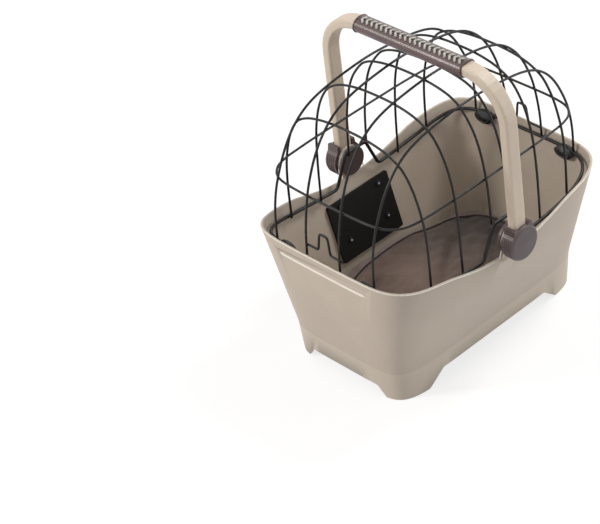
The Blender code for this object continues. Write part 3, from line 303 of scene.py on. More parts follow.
# Lacing along the top of the sleeve, with angles about its axis from +X
LACE_ANGLE = 107 * DEG
LACE_SPREAD = 26 * DEG
LACE_PITCH = 10.2 * MM
LACE_REACH = 5.5 * MM
LACE_RADIUS = 1.8 * MM
LACE_BULGE_START = 0.15
LACE_LIFT_SHARES = (0.1, 0.8)
LACE_END = 5 * MM
LACE_POINTS = 5
SEAM_LINE_RADIUS = 0.9 * MM
SEAM_LINE_SHARE = 0.35
HOLE_RADIUS = 1.7 * MM
HOLE_RISE = LACE_RADIUS / 5
HEM_RADIUS = 1.3 * MM
HEM_POINTS = 40

# Ribs round the lower part of the hub cups
RIB_RADIUS = 1.1 * MM
RIB_POINTS = 60
RIB_SHARES = (0.2, 0.38, 0.56, 0.74)
RIB_START = 150 * DEG
RIB_END = 390 * DEG
CUP_CENTRE = 235.5 * MM

# Cords, and the joining of a solid's corners
TUBE_SIDES = 8
NEARLY_UPRIGHT = 0.1
WELD = 0.001 * MM

# Light and floor. Each lamp has its name, place, target, size, power and colour.
LAMPS = (
    ("key", (-2.15, 1.25, 1.95), (0, 0, 0.25), 0.6, 42.0, (1.0, 0.98, 0.95)),
    ("fill", (1.5, -1.5, 0.7), (0, 0, 0.2), 1.0, 8.0, (0.97, 0.98, 1.0)),
    ("top", (1.1, -0.3, 1.9), (0, 0, 0.2), 0.6, 18.0, (1.0, 1.0, 1.0)),
)
SKY_STRENGTH = 0.38
FLOOR_HALF = 4.0
FLOOR_CELLS = 8
FLOOR_SCALE = 900.0
FLOOR_TINTS = (0.80, 0.83)
FLOOR_GLOW = 1.25
FLOOR_GLOW_SHARE = 0.6


def linear(colour):
    """sRGB values from 0 to 255 as the linear colour that the shaders take."""
    result = []
    for value in colour:
        share = value / 255
        if share <= 0.04045:
            result.append(share / 12.92)
        else:
            result.append(((share + 0.055) / 1.055) ** 2.4)
    return (*result, 1.0)


def shaded(colour, factor):
    return tuple(min(value * factor, 255) for value in colour)


# Camera


def make_camera():
    right = Vector((math.cos(VIEW_AZIMUTH), math.sin(VIEW_AZIMUTH), 0))
    flat = math.cos(VIEW_ELEVATION)
    back = Vector(
        (math.sin(VIEW_AZIMUTH) * flat, -math.cos(VIEW_AZIMUTH) * flat, math.sin(VIEW_ELEVATION))
    )
    up = back.cross(right)
    turned_right = right * math.cos(VIEW_ROLL) - up * math.sin(VIEW_ROLL)
    turned_up = right * math.sin(VIEW_ROLL) + up * math.cos(VIEW_ROLL)
    place = back * VIEW_DISTANCE - right * VIEW_RIGHT - up * VIEW_UP
    data = bpy.data.cameras.new("camera")
    data.sensor_width = SENSOR
    data.lens = SENSOR * FOCAL_PIXELS / FRAME_PIXELS
    data.clip_end = FAR_CLIP
    camera = bpy.data.objects.new("camera", data)
    bpy.context.scene.collection.objects.link(camera)
    turn = Matrix((turned_right, turned_up, back)).transposed()
    camera.matrix_world = Matrix.Translation(place) @ turn.to_4x4()
    bpy.context.scene.camera = camera


make_camera()


# Node materials


def node(tree, kind, inputs=None, **settings):
    """Adds a shader node. An input is a value, or a socket to link from."""
    made = tree.nodes.new(kind)
    for key, value in settings.items():
        setattr(made, key, value)
    for key, value in (inputs or {}).items():
        if isinstance(value, bpy.types.NodeSocket):
            tree.links.new(value, made.inputs[key])
        else:
            made.inputs[key].default_value = value
    return made


def math_node(tree, operation, *values):
    return node(tree, "ShaderNodeMath", dict(enumerate(values)), operation=operation).outputs[0]


def ramp(tree, factor, stops):
    """Colour ramp through (place, value or colour) stops."""
    made = node(tree, "ShaderNodeValToRGB", {"Fac": factor})
    band = made.color_ramp.elements
    while len(band) < len(stops):
        band.new(0.5)
    for element, (place, value) in zip(band, stops):
        element.position = place
        element.color = value if isinstance(value, tuple) else (value, value, value, 1.0)
    return made.outputs["Color"]


def tones(tree, factor, colour, stops):
    """Ramp through shades of one colour, from (place, colour share) stops."""
    return ramp(tree, factor, [(place, linear(shaded(colour, share))) for place, share in stops])


def noise(tree, coords, scale, detail=4.0, roughness=0.5):
    values = {"Vector": coords, "Scale": scale, "Detail": detail, "Roughness": roughness}
    return node(tree, "ShaderNodeTexNoise", values).outputs["Fac"]


def mixed(tree, factor, first, second, blend="MIX"):
    """Colour mix. Its inputs go by number, because several of them have the same name."""
    values = {0: factor, 6: first, 7: second}
    return node(tree, "ShaderNodeMix", values, data_type="RGBA", blend_type=blend).outputs[2]


def scaled(tree, coords, factors):
    return node(tree, "ShaderNodeMapping", {"Vector": coords, "Scale": factors}).outputs[0]


def new_finish(name, **values):
    """Principled material with object coordinates. The values go on the shader's own sockets."""
    material = bpy.data.materials.new(name)
    material.use_nodes = True
    tree = material.node_tree
    shader = tree.nodes["Principled BSDF"]
    for key, value in values.items():
        shader.inputs[key.replace("_", " ").title().replace("Ior", "IOR")].default_value = value
    coords = node(tree, "ShaderNodeTexCoord").outputs["Object"]
    return material, tree, shader, coords


def set_surface(tree, shader, colour, roughness, height, strength, distance):
    tree.links.new(colour, shader.inputs["Base Color"])
    tree.links.new(roughness, shader.inputs["Roughness"])
    values = {"Height": height, "Strength": strength, "Distance": distance}
    bump = node(tree, "ShaderNodeBump", values)
    tree.links.new(bump.outputs["Normal"], shader.inputs["Normal"])


def edge_mask(tree, radius):
    """1 along the sharp and rounded edges of a solid, and 0 on its faces."""
    soft = node(tree, "ShaderNodeBevel", {"Radius": radius}, samples=EDGE_SAMPLES).outputs[0]
    plain = node(tree, "ShaderNodeNewGeometry").outputs["Normal"]
    dot = node(tree, "ShaderNodeVectorMath", {0: soft, 1: plain}, operation="DOT_PRODUCT")
    return ramp(tree, dot.outputs["Value"], ((EDGE_ALL, 1.0), (EDGE_NONE, 0.0)))


def plastic(name, colour, gloss, grain, wear_and_highlight, bump=0.25, edge=2 * MM, **values):
    """Moulded plastic: fine grain, faint mottling, scuffs, and lighter edges, worn by rubbing and
    on the shell a painted highlight.
    """
    material, tree, shader, coords = new_finish(name, **values)
    mottle = noise(tree, coords, MOTTLE_SCALE, 5.0)
    speck = noise(tree, coords, grain * SPECK_SCALE_SHARE, 2.0)
    base = tones(tree, mottle, colour, ((0.3, MOTTLE_COLOUR_SHARE), (0.7, 1.0)))
    dust = tones(tree, speck, colour, ((0.42, SPECK_COLOUR_SHARE), (0.62, 1.0)))
    surface = mixed(tree, SPECK_MIX_SHARE, base, dust)
    # Lighter edges: worn by rubbing, and on the shell a painted highlight along the rim
    rubbed_and_lit = mixed(tree, edge_mask(tree, edge), surface, linear(shaded(colour, wear_and_highlight)))
    scuffs = noise(tree, scaled(tree, coords, SCUFF_SCALES), 1.0, 3.0, 0.7)
    roughness = ramp(tree, scuffs, ((0.35, gloss), (0.68, gloss + SCUFF_DULLING)))
    height = noise(tree, coords, grain, 3.0, 0.6)
    set_surface(tree, shader, rubbed_and_lit, roughness, height, bump, GRAIN_DEPTH)
    return material


def powder_coat(name, colour, gloss):
    """Coated wire, with the slight orange peel of powder paint."""
    material, tree, shader, coords = new_finish(name, specular_ior_level=COAT_SPECULAR)
    dull = noise(tree, coords, COAT_SCALE)
    darker, lighter = COAT_COLOUR_SHARES
    base = tones(tree, dull, colour, ((0.35, darker), (0.7, lighter)))
    roughness = ramp(tree, dull, ((0.3, gloss), (0.7, gloss + COAT_DULLING)))
    peel = noise(tree, coords, PEEL_SCALE, 2.0)
    set_surface(tree, shader, base, roughness, peel, PEEL_STRENGTH, PEEL_DEPTH)
    return material


def metal(name, colour):
    """Zinc-plated steel with turning marks and a few dull spots."""
    material, tree, shader, coords = new_finish(name, metallic=1.0)
    spots = noise(tree, coords, SPOT_SCALE)
    base = tones(tree, spots, colour, ((0.3, SPOT_COLOUR_SHARE), (0.6, 1.0)))
    roughness = ramp(tree, spots, ((0.3, SPOT_ROUGHNESS), (0.7, STEEL_ROUGHNESS)))
    marks = noise(tree, scaled(tree, coords, MARK_SCALES), 1.0, 2.0)
    set_surface(tree, shader, base, roughness, marks, MARK_STRENGTH, MARK_DEPTH)
    return material


def leather(name, colour):
    """Wrapped leather: pebbled grain, darker in its pores, with worn lighter patches."""
    settings = {"sheen_weight": LEATHER_SHEEN, "specular_ior_level": LEATHER_SPECULAR}
    material, tree, shader, coords = new_finish(name, **settings)
    cells = node(tree, "ShaderNodeTexVoronoi", {"Vector": coords, "Scale": CELL_SCALE})
    pores = noise(tree, coords, PORE_SCALE, 3.0)
    worn = noise(tree, coords, WORN_SCALE, 5.0)
    darker, lighter = LEATHER_COLOUR_SHARES
    base = tones(tree, worn, colour, ((0.3, darker), (0.72, lighter)))
    between = ramp(tree, cells.outputs["Distance"], ((0.0, 1.0), (0.85, CELL_COLOUR_SHARE)))
    surface = mixed(tree, CELL_MIX_SHARE, base, between, "MULTIPLY")
    roughness = ramp(tree, worn, ((0.3, LEATHER_ROUGHNESS), (0.7, WORN_ROUGHNESS)))
    height = math_node(tree, "MULTIPLY_ADD", pores, PORE_HEIGHT_SHARE, cells.outputs["Distance"])
    set_surface(tree, shader, surface, roughness, height, LEATHER_STRENGTH, LEATHER_DEPTH)
    return material


def cloth(name, colour, thread, strength=0.6, painted_shade=None):
    """Plain weave of two threads at right angles, with a melange of lighter and darker yarn.

    The painted shade, where there is one, is a table of places along X and the colour share at
    each.
    """
    settings = {"sheen_weight": CLOTH_SHEEN, "sheen_roughness": CLOTH_SHEEN_ROUGHNESS}
    material, tree, shader, coords = new_finish(name, **settings)
    values = {
        "Vector": coords,
        "Scale": 1 / thread / 2,
        "Distortion": WEAVE_DISTORTION,
        "Detail": WEAVE_DETAIL,
        "Detail Scale": WEAVE_DETAIL_SCALE,
    }
    waves = []
    for axis in ("X", "Y"):
        wave = node(tree, "ShaderNodeTexWave", values, bands_direction=axis)
        waves.append(wave.outputs["Fac"])
    weave = math_node(tree, "MULTIPLY", *waves)
    yarn = noise(tree, scaled(tree, coords, YARN_SCALES), 1.0, 3.0)
    cross = noise(tree, scaled(tree, coords, CROSS_SCALES), 1.0, 3.0)
    fading = noise(tree, coords, FADING_SCALE)
    darker, lighter = FADING_COLOUR_SHARES
    base = tones(tree, fading, colour, ((0.3, darker), (0.7, lighter)))
    # Painted shade: the colour darkens along X by the table's shares
    if painted_shade is not None:
        along = node(tree, "ShaderNodeSeparateXYZ", {0: coords}).outputs["X"]
        place = math_node(tree, "MULTIPLY_ADD", along, 1 / CUSHION_SHADE_LENGTH, 0.5)
        base = mixed(tree, 1.0, base, ramp(tree, place, painted_shade), "MULTIPLY")
    fleck = math_node(tree, "MULTIPLY", yarn, cross)
    melange = ramp(tree, fleck, ((0.12, FLECK_COLOUR_SHARE), (0.42, 1.0)))
    surface = mixed(tree, FLECK_MIX_SHARE, base, melange, "MULTIPLY")
    between = ramp(tree, weave, ((0.0, WEAVE_COLOUR_SHARE), (0.5, 1.0)))
    woven = mixed(tree, WEAVE_MIX_SHARE, surface, between, "MULTIPLY")
    dull, smooth = FADING_ROUGHNESS
    roughness = ramp(tree, fading, ((0.3, dull), (0.7, smooth)))
    height = math_node(tree, "MULTIPLY_ADD", fleck, FLECK_HEIGHT_SHARE, weave)
    set_surface(tree, shader, woven, roughness, height, strength, CLOTH_DEPTH)
    return material


# The shell's lighter edges are a painted highlight along the rim
SHELL = plastic("shell_plastic", SHELL_COLOUR, gloss=0.46, grain=1500.0, wear_and_highlight=1.25, edge=3 * MM)
# Lighter copy of the shell's plastic for the skirt: painted light
SKIRT_PAINTED_LIGHT = plastic("skirt_painted_light_plastic", SKIRT_PAINTED_LIGHT_COLOUR, gloss=0.46, grain=1500.0, wear_and_highlight=1.17, edge=3 * MM)
HANDLE = plastic("handle_plastic", HANDLE_COLOUR, gloss=0.42, grain=1500.0, wear_and_highlight=1.08)
HUB = plastic("hub_plastic", HUB_COLOUR, gloss=0.34, grain=1100.0, wear_and_highlight=1.3, bump=0.35)
CLIP = plastic("clip_plastic", CLIP_COLOUR, gloss=0.42, grain=1200.0, wear_and_highlight=1.5)
PLATE = plastic(
    "plate_plastic",
    PLATE_COLOUR,
    gloss=0.55,
    grain=900.0,
    wear_and_highlight=1.6,
    bump=0.5,
    specular_ior_level=0.25,
)
# Lighter grey for the clip rings: painted highlight
CLIP_RIM_HIGHLIGHT = plastic("clip_rim_highlight_plastic", CLIP_RIM_HIGHLIGHT_COLOUR, gloss=0.36, grain=1200.0, wear_and_highlight=1.3)
WIRE = powder_coat("wire_coat", WIRE_COLOUR, gloss=0.32)
STEEL = metal("zinc_steel", STEEL_COLOUR)
HEAD = plastic(
    "bolt_head",
    HEAD_COLOUR,
    gloss=0.45,
    grain=900.0,
    wear_and_highlight=1.6,
    specular_ior_level=0.3,
)
SOCKET = plastic("bolt_socket", SOCKET_COLOUR, gloss=0.3, grain=900.0, wear_and_highlight=1.1)
# Near-white plastic for the beads: painted highlight
LIP_HIGHLIGHT = plastic("lip_highlight_plastic", LIP_HIGHLIGHT_COLOUR, gloss=0.4, grain=1500.0, wear_and_highlight=1.02)
LEATHER = leather("sleeve_leather", SLEEVE_COLOUR)
FABRIC = cloth("cushion_fabric", CUSHION_COLOUR, CUSHION_THREAD, painted_shade=CUSHION_SHADE_SHARES)
BORDER = cloth("border_fabric", BORDER_COLOUR, CUSHION_THREAD)
PIPING = cloth("piping_fabric", PIPING_COLOUR, PIPING_THREAD)
LACE = cloth("lace_thread", LACE_COLOUR, LACE_THREAD, strength=0.8)
SEAM_DARK = leather("seam_leather", SEAM_COLOUR)

FINISHES = (
    ("tub_shell", SHELL),
    ("handle_arch", HANDLE),
    ("grip_sleeve", LEATHER),
    ("hub_", HUB),
    ("base_ring", WIRE),
    ("mid_ring", WIRE),
    ("cross_hoop", WIRE),
    ("long_hoop", WIRE),
    ("pull_loop", WIRE),
    ("ring_clip", CLIP),
    ("inner_plate", PLATE),
    ("bike_bracket", PLATE),
    ("plate_bolt", HEAD),
    ("plate_nut", STEEL),
    ("pivot_pin", STEEL),
    ("cushion", FABRIC),
)


def dress(name, obj):
    for start_of_name, material in FINISHES:
        if name.startswith(start_of_name):
            obj.data.materials.clear()
            obj.data.materials.append(material)


for node_name, node_object in NODES.items():
    dress(node_name, node_object)


# New pieces


def add_mesh(name, bm, material, smooth=True):
    data = bpy.data.meshes.new(name)
    bmesh.ops.recalc_face_normals(bm, faces=bm.faces)
    for face in bm.faces:
        face.smooth = smooth
    bm.to_mesh(data)
    bm.free()
    obj = bpy.data.objects.new(name, data)
    bpy.context.scene.collection.objects.link(obj)
    data.materials.append(material)
    return obj


def tube(bm, points, radius, closed=False, sides=TUBE_SIDES):
    """Round cord through the points, capped where it is open."""
    count = len(points)
    rows = []
    up = Vector((0, 0, 1))
    for i, point in enumerate(points):
        after = points[(i + 1) % count] if closed or i + 1 < count else point
        before = points[i - 1] if closed or i > 0 else point
        along = (after - before).normalized()
        across = along.cross(up)
        if across.length < NEARLY_UPRIGHT:
            across = along.cross(Vector((1, 0, 0)))
        across.normalize()
        over = across.cross(along)
        ring = []
        for k in range(sides):
            angle = 360 * DEG * k / sides
            ring.append(
                bm.verts.new(point + (across * math.cos(angle) + over * math.sin(angle)) * radius)
            )
        rows.append(ring)
    pairs = list(zip(rows, rows[1:])) + ([(rows[-1], rows[0])] if closed else [])
    for low, high in pairs:
        for k in range(sides):
            j = (k + 1) % sides
            bm.faces.new((low[k], low[j], high[j], high[k]))
    if not closed:
        bm.faces.new(rows[0][::-1])
        bm.faces.new(rows[-1])


def surface_of(obj):
    return BVHTree.FromObject(obj, bpy.context.evaluated_depsgraph_get())


def eased(share):
    held = min(max(share, 0.0), 1.0)
    return held * held * (3 - 2 * held)


def welded(name):
    """The node's shape as an editable mesh with its corners joined."""
    bm = bmesh.new()
    bm.from_mesh(NODES[name].data)
    bmesh.ops.remove_doubles(bm, verts=bm.verts, dist=WELD)
    return bm


def bake(obj):
    """Applies the object's modifiers to its mesh."""
    graph = bpy.context.evaluated_depsgraph_get()
    data = bpy.data.meshes.new_from_object(obj.evaluated_get(graph))
    obj.modifiers.clear()
    obj.data = data


# Tub


def wall_x(height):
    share = (height - WALL_FOOT_Z) / (WALL_TOP_Z - WALL_FOOT_Z)
    return WALL_FOOT_X + (WALL_TOP_X - WALL_FOOT_X) * share


def close_peg_bores(bm):
    """The pegs fill their bores flush with the wall, so the bores go and the wall closes."""
    walls = []
    for face in bm.faces:
        middle = face.calc_center_median()
        away = math.hypot(abs(middle.y) - PEG_Y, middle.z - PEG_Z)
        in_wall = abs(middle.x) > WALL_FOOT_X and abs(face.normal.x) < ALONG_SHARE
        if in_wall and away < PEG_BORE:
            walls.append(face)
    bmesh.ops.delete(bm, geom=walls, context="FACES")
    loose = [edge for edge in bm.edges if len(edge.link_faces) == 1]
    bmesh.ops.holes_fill(bm, edges=loose, sides=0)


def reshape_walls(bm):
    """Draws each ledge up the wall to where the photograph shows it, and tapers the skirt."""
    share = (LEDGE_RAISED - LEDGE_LOW) / (LEDGE_TOP - LEDGE_LOW)
    slope = (WALL_TOP_X - WALL_FOOT_X) / (WALL_TOP_Z - WALL_FOOT_Z)
    for vert in bm.verts:
        x, y, z = vert.co
        if z < SKIRT_TOP:
            vert.co.x = x * (1 - SKIRT_TAPER * (SKIRT_TOP - z) / SKIRT_TOP)
        inside = LEDGE_LOW < z < LEDGE_TOP and abs(y) < LEDGE_HALF
        if inside and wall_x(z) - abs(x) < LEDGE_DEPTH:
            rise = (LEDGE_TOP - z) * share
            vert.co.z = z + rise
            vert.co.x = x + math.copysign(slope * rise, x)


def rim_line(shape):
    """Points along the outer edge of the rim's top, found by feeling outward for it."""
    points = []
    for k in range(RIM_POINTS):
        angle = 360 * DEG * k / RIM_POINTS
        out = Vector((math.cos(angle), math.sin(angle), 0))
        held = None
        low, high = 0.0, 1.0
        for _ in range(RIM_STEPS):
            middle = (low + high) / 2
            above = out * (RIM_NEAR + (RIM_FAR - RIM_NEAR) * middle) + Vector((0, 0, RIM_ABOVE))
            spot, _, _, _ = shape.ray_cast(above, Vector((0, 0, -1)))
            if spot is None:
                high = middle
            else:
                low = middle
                held = spot
        if held is not None and held.z > RIM_FLOOR:
            points.append(held - out * RIM_EDGE_INSET)
    return points


def make_tub():
    """The shell as photographed, with its skirt below the crease in a lighter plastic: painted
    light.
    """
    bm = welded("tub_shell")
    close_peg_bores(bm)
    reshape_walls(bm)
    tub = add_mesh("tub", bm, SHELL)
    tub.data.set_sharp_from_angle(angle=SHARP_ANGLE)
    for edge in tub.data.edges:
        heights = [tub.data.vertices[k].co.z for k in edge.vertices]
        level = abs(heights[0] - heights[1]) < LEVEL_TOLERANCE
        if level and CREASE_LOW < heights[0] < CREASE_HIGH:
            edge.use_edge_sharp = True
    # Faces of the skirt below the crease take the lighter plastic: painted light
    tub.data.materials.append(SKIRT_PAINTED_LIGHT)
    for face in tub.data.polygons:
        if face.center.z < CREASE_LOW and abs(face.normal.z) < ALONG_SHARE:
            face.material_index = 1
    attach(tub, "basket")
    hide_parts("tub_shell")
    return tub


def make_lips(tub):
    """Near-white beads along both grip ledges, sunk into the wall at their ends, and along the
    rim: painted highlights.
    """
    shape = surface_of(tub)
    bm = bmesh.new()
    for end in (1, -1):
        path = []
        for k in range(LIP_POINTS + 1):
            y = LIP_HALF * (2 * k / LIP_POINTS - 1)
            start = Vector((end * RIM_FAR, y, LEDGE_RAISED - LIP_RADIUS / 2))
            spot, _, _, _ = shape.ray_cast(start, Vector((-end, 0, 0)))
            fade = eased((LIP_HALF - abs(y)) / LIP_FADE)
            path.append(spot - Vector((end * LIP_RADIUS * (1 - fade), 0, 0)))
        tube(bm, path, LIP_RADIUS)
    tube(bm, rim_line(shape), RIM_EDGE_RADIUS, closed=True)
    lips = add_mesh("highlight_lips", bm, LIP_HIGHLIGHT)
    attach(lips, "basket")


make_lips(make_tub())


# Wires


def as_photographed(name, point):
    """Where the photograph shows a point of the plain dome."""
    x, y, z = point
    low = 1 - eased((z - DOME_FOOT) / DOME_FOOT_FADE)
    end = eased((abs(x) - END_FROM) / END_FADE)
    out = END_OUT_HIGH + (END_OUT_LOW - END_OUT_HIGH) * low
    if name == "base_ring":
        out = 0.0
    if name == "mid_ring":
        out = RING_OUT
        y *= MID_RING_WIDTH_SHARE
    shoulder = eased((abs(x) - SHOULDER_FROM) / SHOULDER_FADE)
    shoulder *= eased((z - SHOULDER_HEIGHT) / SHOULDER_FADE)
    drop = LOW_DROP * low * eased((abs(x) - LOW_FROM) / LOW_FADE)
    return Vector((x + math.copysign(out * end, x), y, z + SHOULDER_RISE * shoulder - drop))


def smooth_wire(name):
    """The wire as photographed, with its straight runs rounded into the curve they follow."""
    bm = welded(name)
    bmesh.ops.join_triangles(
        bm,
        faces=bm.faces,
        angle_face_threshold=QUAD_ANGLE,
        angle_shape_threshold=QUAD_ANGLE,
    )
    for vert in bm.verts:
        vert.normal_update()
    for vert in bm.verts:
        vert.co = as_photographed(name, vert.co + vert.normal * WIRE_SWELL)
    crease = bm.edges.layers.float.new("crease_edge")
    for edge in bm.edges:
        if edge.calc_face_angle(0.0) > WIRE_END_ANGLE:
            edge[crease] = 1.0
    curved = add_mesh(f"{name}_wire", bm, WIRE)
    rounding = curved.modifiers.new("rounding", "SUBSURF")
    rounding.levels = WIRE_LEVELS
    rounding.render_levels = WIRE_LEVELS
    bake(curved)
    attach(curved, "dome")
    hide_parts(name)


for node_name in list(NODES):
    if node_name.startswith(WIRE_PREFIXES):
        smooth_wire(node_name)


# Clips and bolts


def make_clips():
    """Each clip with its peg ending inside the wall, and a raised oval ring on its face, in a
    lighter grey: painted highlight.
    """
    for number in CLIP_NUMBERS:
        low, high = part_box(f"ring_clip_{number}")
        centre = (low + high) / 2 - Vector((0, 0, CLIP_DROP))
        face_x = low.x if centre.x > 0 else high.x
        bm = welded(f"ring_clip_{number}")
        for vert in bm.verts:
            if abs(vert.co.x) > PEG_END:
                vert.co.x = math.copysign(PEG_END, vert.co.x)
            vert.co.z -= CLIP_DROP
        clip = add_mesh(f"clip_{number}", bm, CLIP)
        clip.data.set_sharp_from_angle(angle=SHARP_ANGLE)
        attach(clip, "basket")
        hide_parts(f"ring_clip_{number}")
        bm = bmesh.new()
        path = []
        for k in range(CLIP_RING_POINTS):
            angle = 360 * DEG * k / CLIP_RING_POINTS
            y = centre.y + CLIP_RING_WIDTH / 2 * math.cos(angle)
            z = centre.z + CLIP_RING_HEIGHT / 2 * math.sin(angle)
            path.append(Vector((face_x, y, z)))
        # Ring in lighter grey: painted highlight on the clip's face
        tube(bm, path, CLIP_RING_RADIUS, closed=True)
        ring = add_mesh(f"clip_ring_highlight_{number}", bm, CLIP_RIM_HIGHLIGHT)
        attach(ring, "basket")


def make_sockets():
    """Bright socket in the middle of each bolt's head."""
    low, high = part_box("inner_plate")
    centre = (low + high) / 2
    board = surface_of(NODES["inner_plate"])
    _, out, _, _ = board.ray_cast(Vector((centre.x, 0, centre.z)), Vector((0, 1, 0)))
    bm = bmesh.new()
    for number in BOLT_NUMBERS:
        points = [vert.co for vert in NODES[f"plate_bolt_{number}"].data.vertices]
        top = max(point.dot(out) for point in points)
        cap = [point for point in points if top - point.dot(out) < CAP_BAND]
        middle = sum(cap, Vector()) / len(cap)
        ends = [middle - out * SOCKET_RISE, middle + out * SOCKET_RISE]
        tube(bm, ends, SOCKET_RADIUS, sides=SOCKET_SIDES)
    sockets = add_mesh("bolt_sockets", bm, SOCKET)
    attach(sockets, "basket")


make_clips()
make_sockets()


# Cushion


def copy_of_node(name, new_name, material):
    data = NODES[name].data.copy()
    data.materials.clear()
    data.materials.append(material)
    obj = bpy.data.objects.new(new_name, data)
    bpy.context.scene.collection.objects.link(obj)
    return obj


def get_points(data):
    points = np.zeros(len(data.vertices) * 3)
    data.vertices.foreach_get("co", points)
    return points.reshape(-1, 3)


def set_points(data, points):
    data.vertices.foreach_set("co", points.ravel())
    data.update()


def swell(obj):
    """Blows the pad up as cloth under pressure, and caps how far each point may move."""
    start = get_points(obj.data)
    cover = obj.modifiers.new("swell", "CLOTH")
    for key, value in CUSHION_CLOTH.items():
        setattr(cover.settings, key, value)
    cover.settings.effector_weights.gravity = 0
    cover.point_cache.frame_start = 1
    cover.point_cache.frame_end = CUSHION_FRAMES
    for frame_number in range(1, CUSHION_FRAMES + 1):
        bpy.context.scene.frame_set(frame_number)
    graph = bpy.context.evaluated_depsgraph_get()
    end = get_points(obj.evaluated_get(graph).data)
    obj.modifiers.clear()
    bpy.context.scene.frame_set(1)
    move = end - start
    length = np.linalg.norm(move, axis=1)
    share = np.minimum(1.0, CUSHION_CAP / np.maximum(length, CUSHION_LEAST_MOVE))
    set_points(obj.data, start + move * share[:, None])


def seam_distance(x, y, half_x, near_y, far_y):
    """Roughly how far a place lies from the seam that runs round the top."""
    across = y - SEAM_SHEAR * x
    half_y = np.where(across > 0, far_y, near_y)
    reach = np.abs(x / half_x) ** SEAM_POWER + np.abs(across / half_y) ** SEAM_POWER
    return (reach ** (1 / SEAM_POWER) - 1) * near_y


def fold_depth(x, y, half_x, half_y):
    """Sum of the soft folds at a place on the top."""
    depth = np.zeros_like(x)
    for start, end, size in FOLDS:
        first = np.array((start[0] * half_x, start[1] * half_y))
        last = np.array((end[0] * half_x, end[1] * half_y))
        along = last - first
        length = np.linalg.norm(along)
        along = along / length
        away = np.stack((x - first[0], y - first[1]), axis=1)
        run = away @ along
        side = away @ np.array((-along[1], along[0]))
        beyond = np.maximum(np.maximum(-run, run - length), 0.0)
        fade = np.exp(-((beyond / FOLD_SPREAD) ** 2))
        depth += size * np.exp(-((side / FOLD_SPREAD) ** 2)) * fade
    return depth


def wrinkles(x, y, half_x, half_y):
    """Small crossing waves, each broken up by a slower one."""
    depth = np.zeros_like(x)
    for along, across, size in WRINKLES:
        phase = along * x / half_x + across * y / half_y
        slow = np.sin(across * x / half_x - along * y / half_y)
        broken = 1 - WRINKLE_BREAK + WRINKLE_BREAK * slow
        depth += size * np.sin(math.pi * phase) * broken
    return depth


def make_cushion():
    """The pad with its seam, folds and drawn-in sides, a border outside the seam, and piping."""
    low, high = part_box("cushion")
    half_x = (high.x - low.x) / 2
    half_y = -low.y
    pad = copy_of_node("cushion", "cushion_pad", FABRIC)
    remesh = pad.modifiers.new("remesh", "REMESH")
    remesh.mode = "VOXEL"
    remesh.voxel_size = CUSHION_VOXEL
    remesh.use_smooth_shade = True
    shrink = pad.modifiers.new("shrink", "DISPLACE")
    shrink.strength = -CUSHION_SHRINK
    shrink.mid_level = 0.0
    relax = pad.modifiers.new("relax", "SMOOTH")
    relax.factor = RELAX_FACTOR
    relax.iterations = RELAX_STEPS
    bake(pad)
    swell(pad)
    points = get_points(pad.data)
    x, y, z = points.T
    base = low.z
    rise = np.clip((z - base) / (high.z - base), 0.0, 1.0)
    crown = np.clip(rise * CROWN_SLOPE - CROWN_OFFSET, 0.0, 1.0)
    seam_sizes = (half_x - SEAM_INSET, half_y - SEAM_INSET, half_y - SEAM_FAR_INSET)
    seam = seam_distance(x, y, *seam_sizes)
    groove = SEAM_DEPTH * np.exp(-((seam / SEAM_SPREAD) ** 2))
    folds = fold_depth(x, y, half_x, half_y) + wrinkles(x, y, half_x, half_y)
    z -= crown * (groove + folds)
    waist = CUSHION_WAIST * np.sin(math.pi * rise)
    ends = np.abs(x / half_x) ** WAIST_POWER
    x -= waist * np.sign(x) * ends * (1 - np.abs(y / half_y) ** 2)
    near = (y < 0) * np.abs(y / half_y) ** WAIST_POWER
    y += waist * near * (1 - np.abs(x / half_x) ** 2)
    z[:] = np.maximum(z, base)
    set_points(pad.data, np.stack((x, y, z), axis=1))
    smooth = pad.modifiers.new("smooth", "SUBSURF")
    smooth.levels = 1
    smooth.render_levels = 1
    bake(pad)
    pad.data.materials.append(BORDER)
    for face in pad.data.polygons:
        face.use_smooth = True
        x, y, _ = face.center
        if seam_distance(x, y, *seam_sizes) > 0:
            face.material_index = 1
    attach(pad, "basket")
    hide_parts("cushion")
    make_piping(pad, *seam_sizes, high.z)


def make_piping(pad, half_x, near_y, far_y, top):
    """Cord sewn into the seam, lying on the pad's own surface."""
    shape = surface_of(pad)
    heights = []
    places = []
    for k in range(SEAM_POINTS):
        angle = 360 * DEG * k / SEAM_POINTS
        cos, sin = math.cos(angle), math.sin(angle)
        half_y = far_y if sin > 0 else near_y
        x = half_x * math.copysign(abs(cos) ** (2 / SEAM_POWER), cos)
        y = half_y * math.copysign(abs(sin) ** (2 / SEAM_POWER), sin) + SEAM_SHEAR * x
        spot, _, _, _ = shape.ray_cast(Vector((x, y, top + CUSHION_CAP)), Vector((0, 0, -1)))
        places.append((x, y))
        heights.append(spot.z)
    smoothed = np.array(heights)
    for _ in range(PIPING_SMOOTHING):
        smoothed = (np.roll(smoothed, 1) + smoothed + np.roll(smoothed, -1)) / 3
    bm = bmesh.new()
    lift = PIPING_RADIUS / 2
    points = [Vector((x, y, z + lift)) for (x, y), z in zip(places, smoothed)]
    tube(bm, points, PIPING_RADIUS, closed=True)
    piping = add_mesh("cushion_piping", bm, PIPING)
    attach(piping, "basket")


make_cushion()


# Sleeve lacing


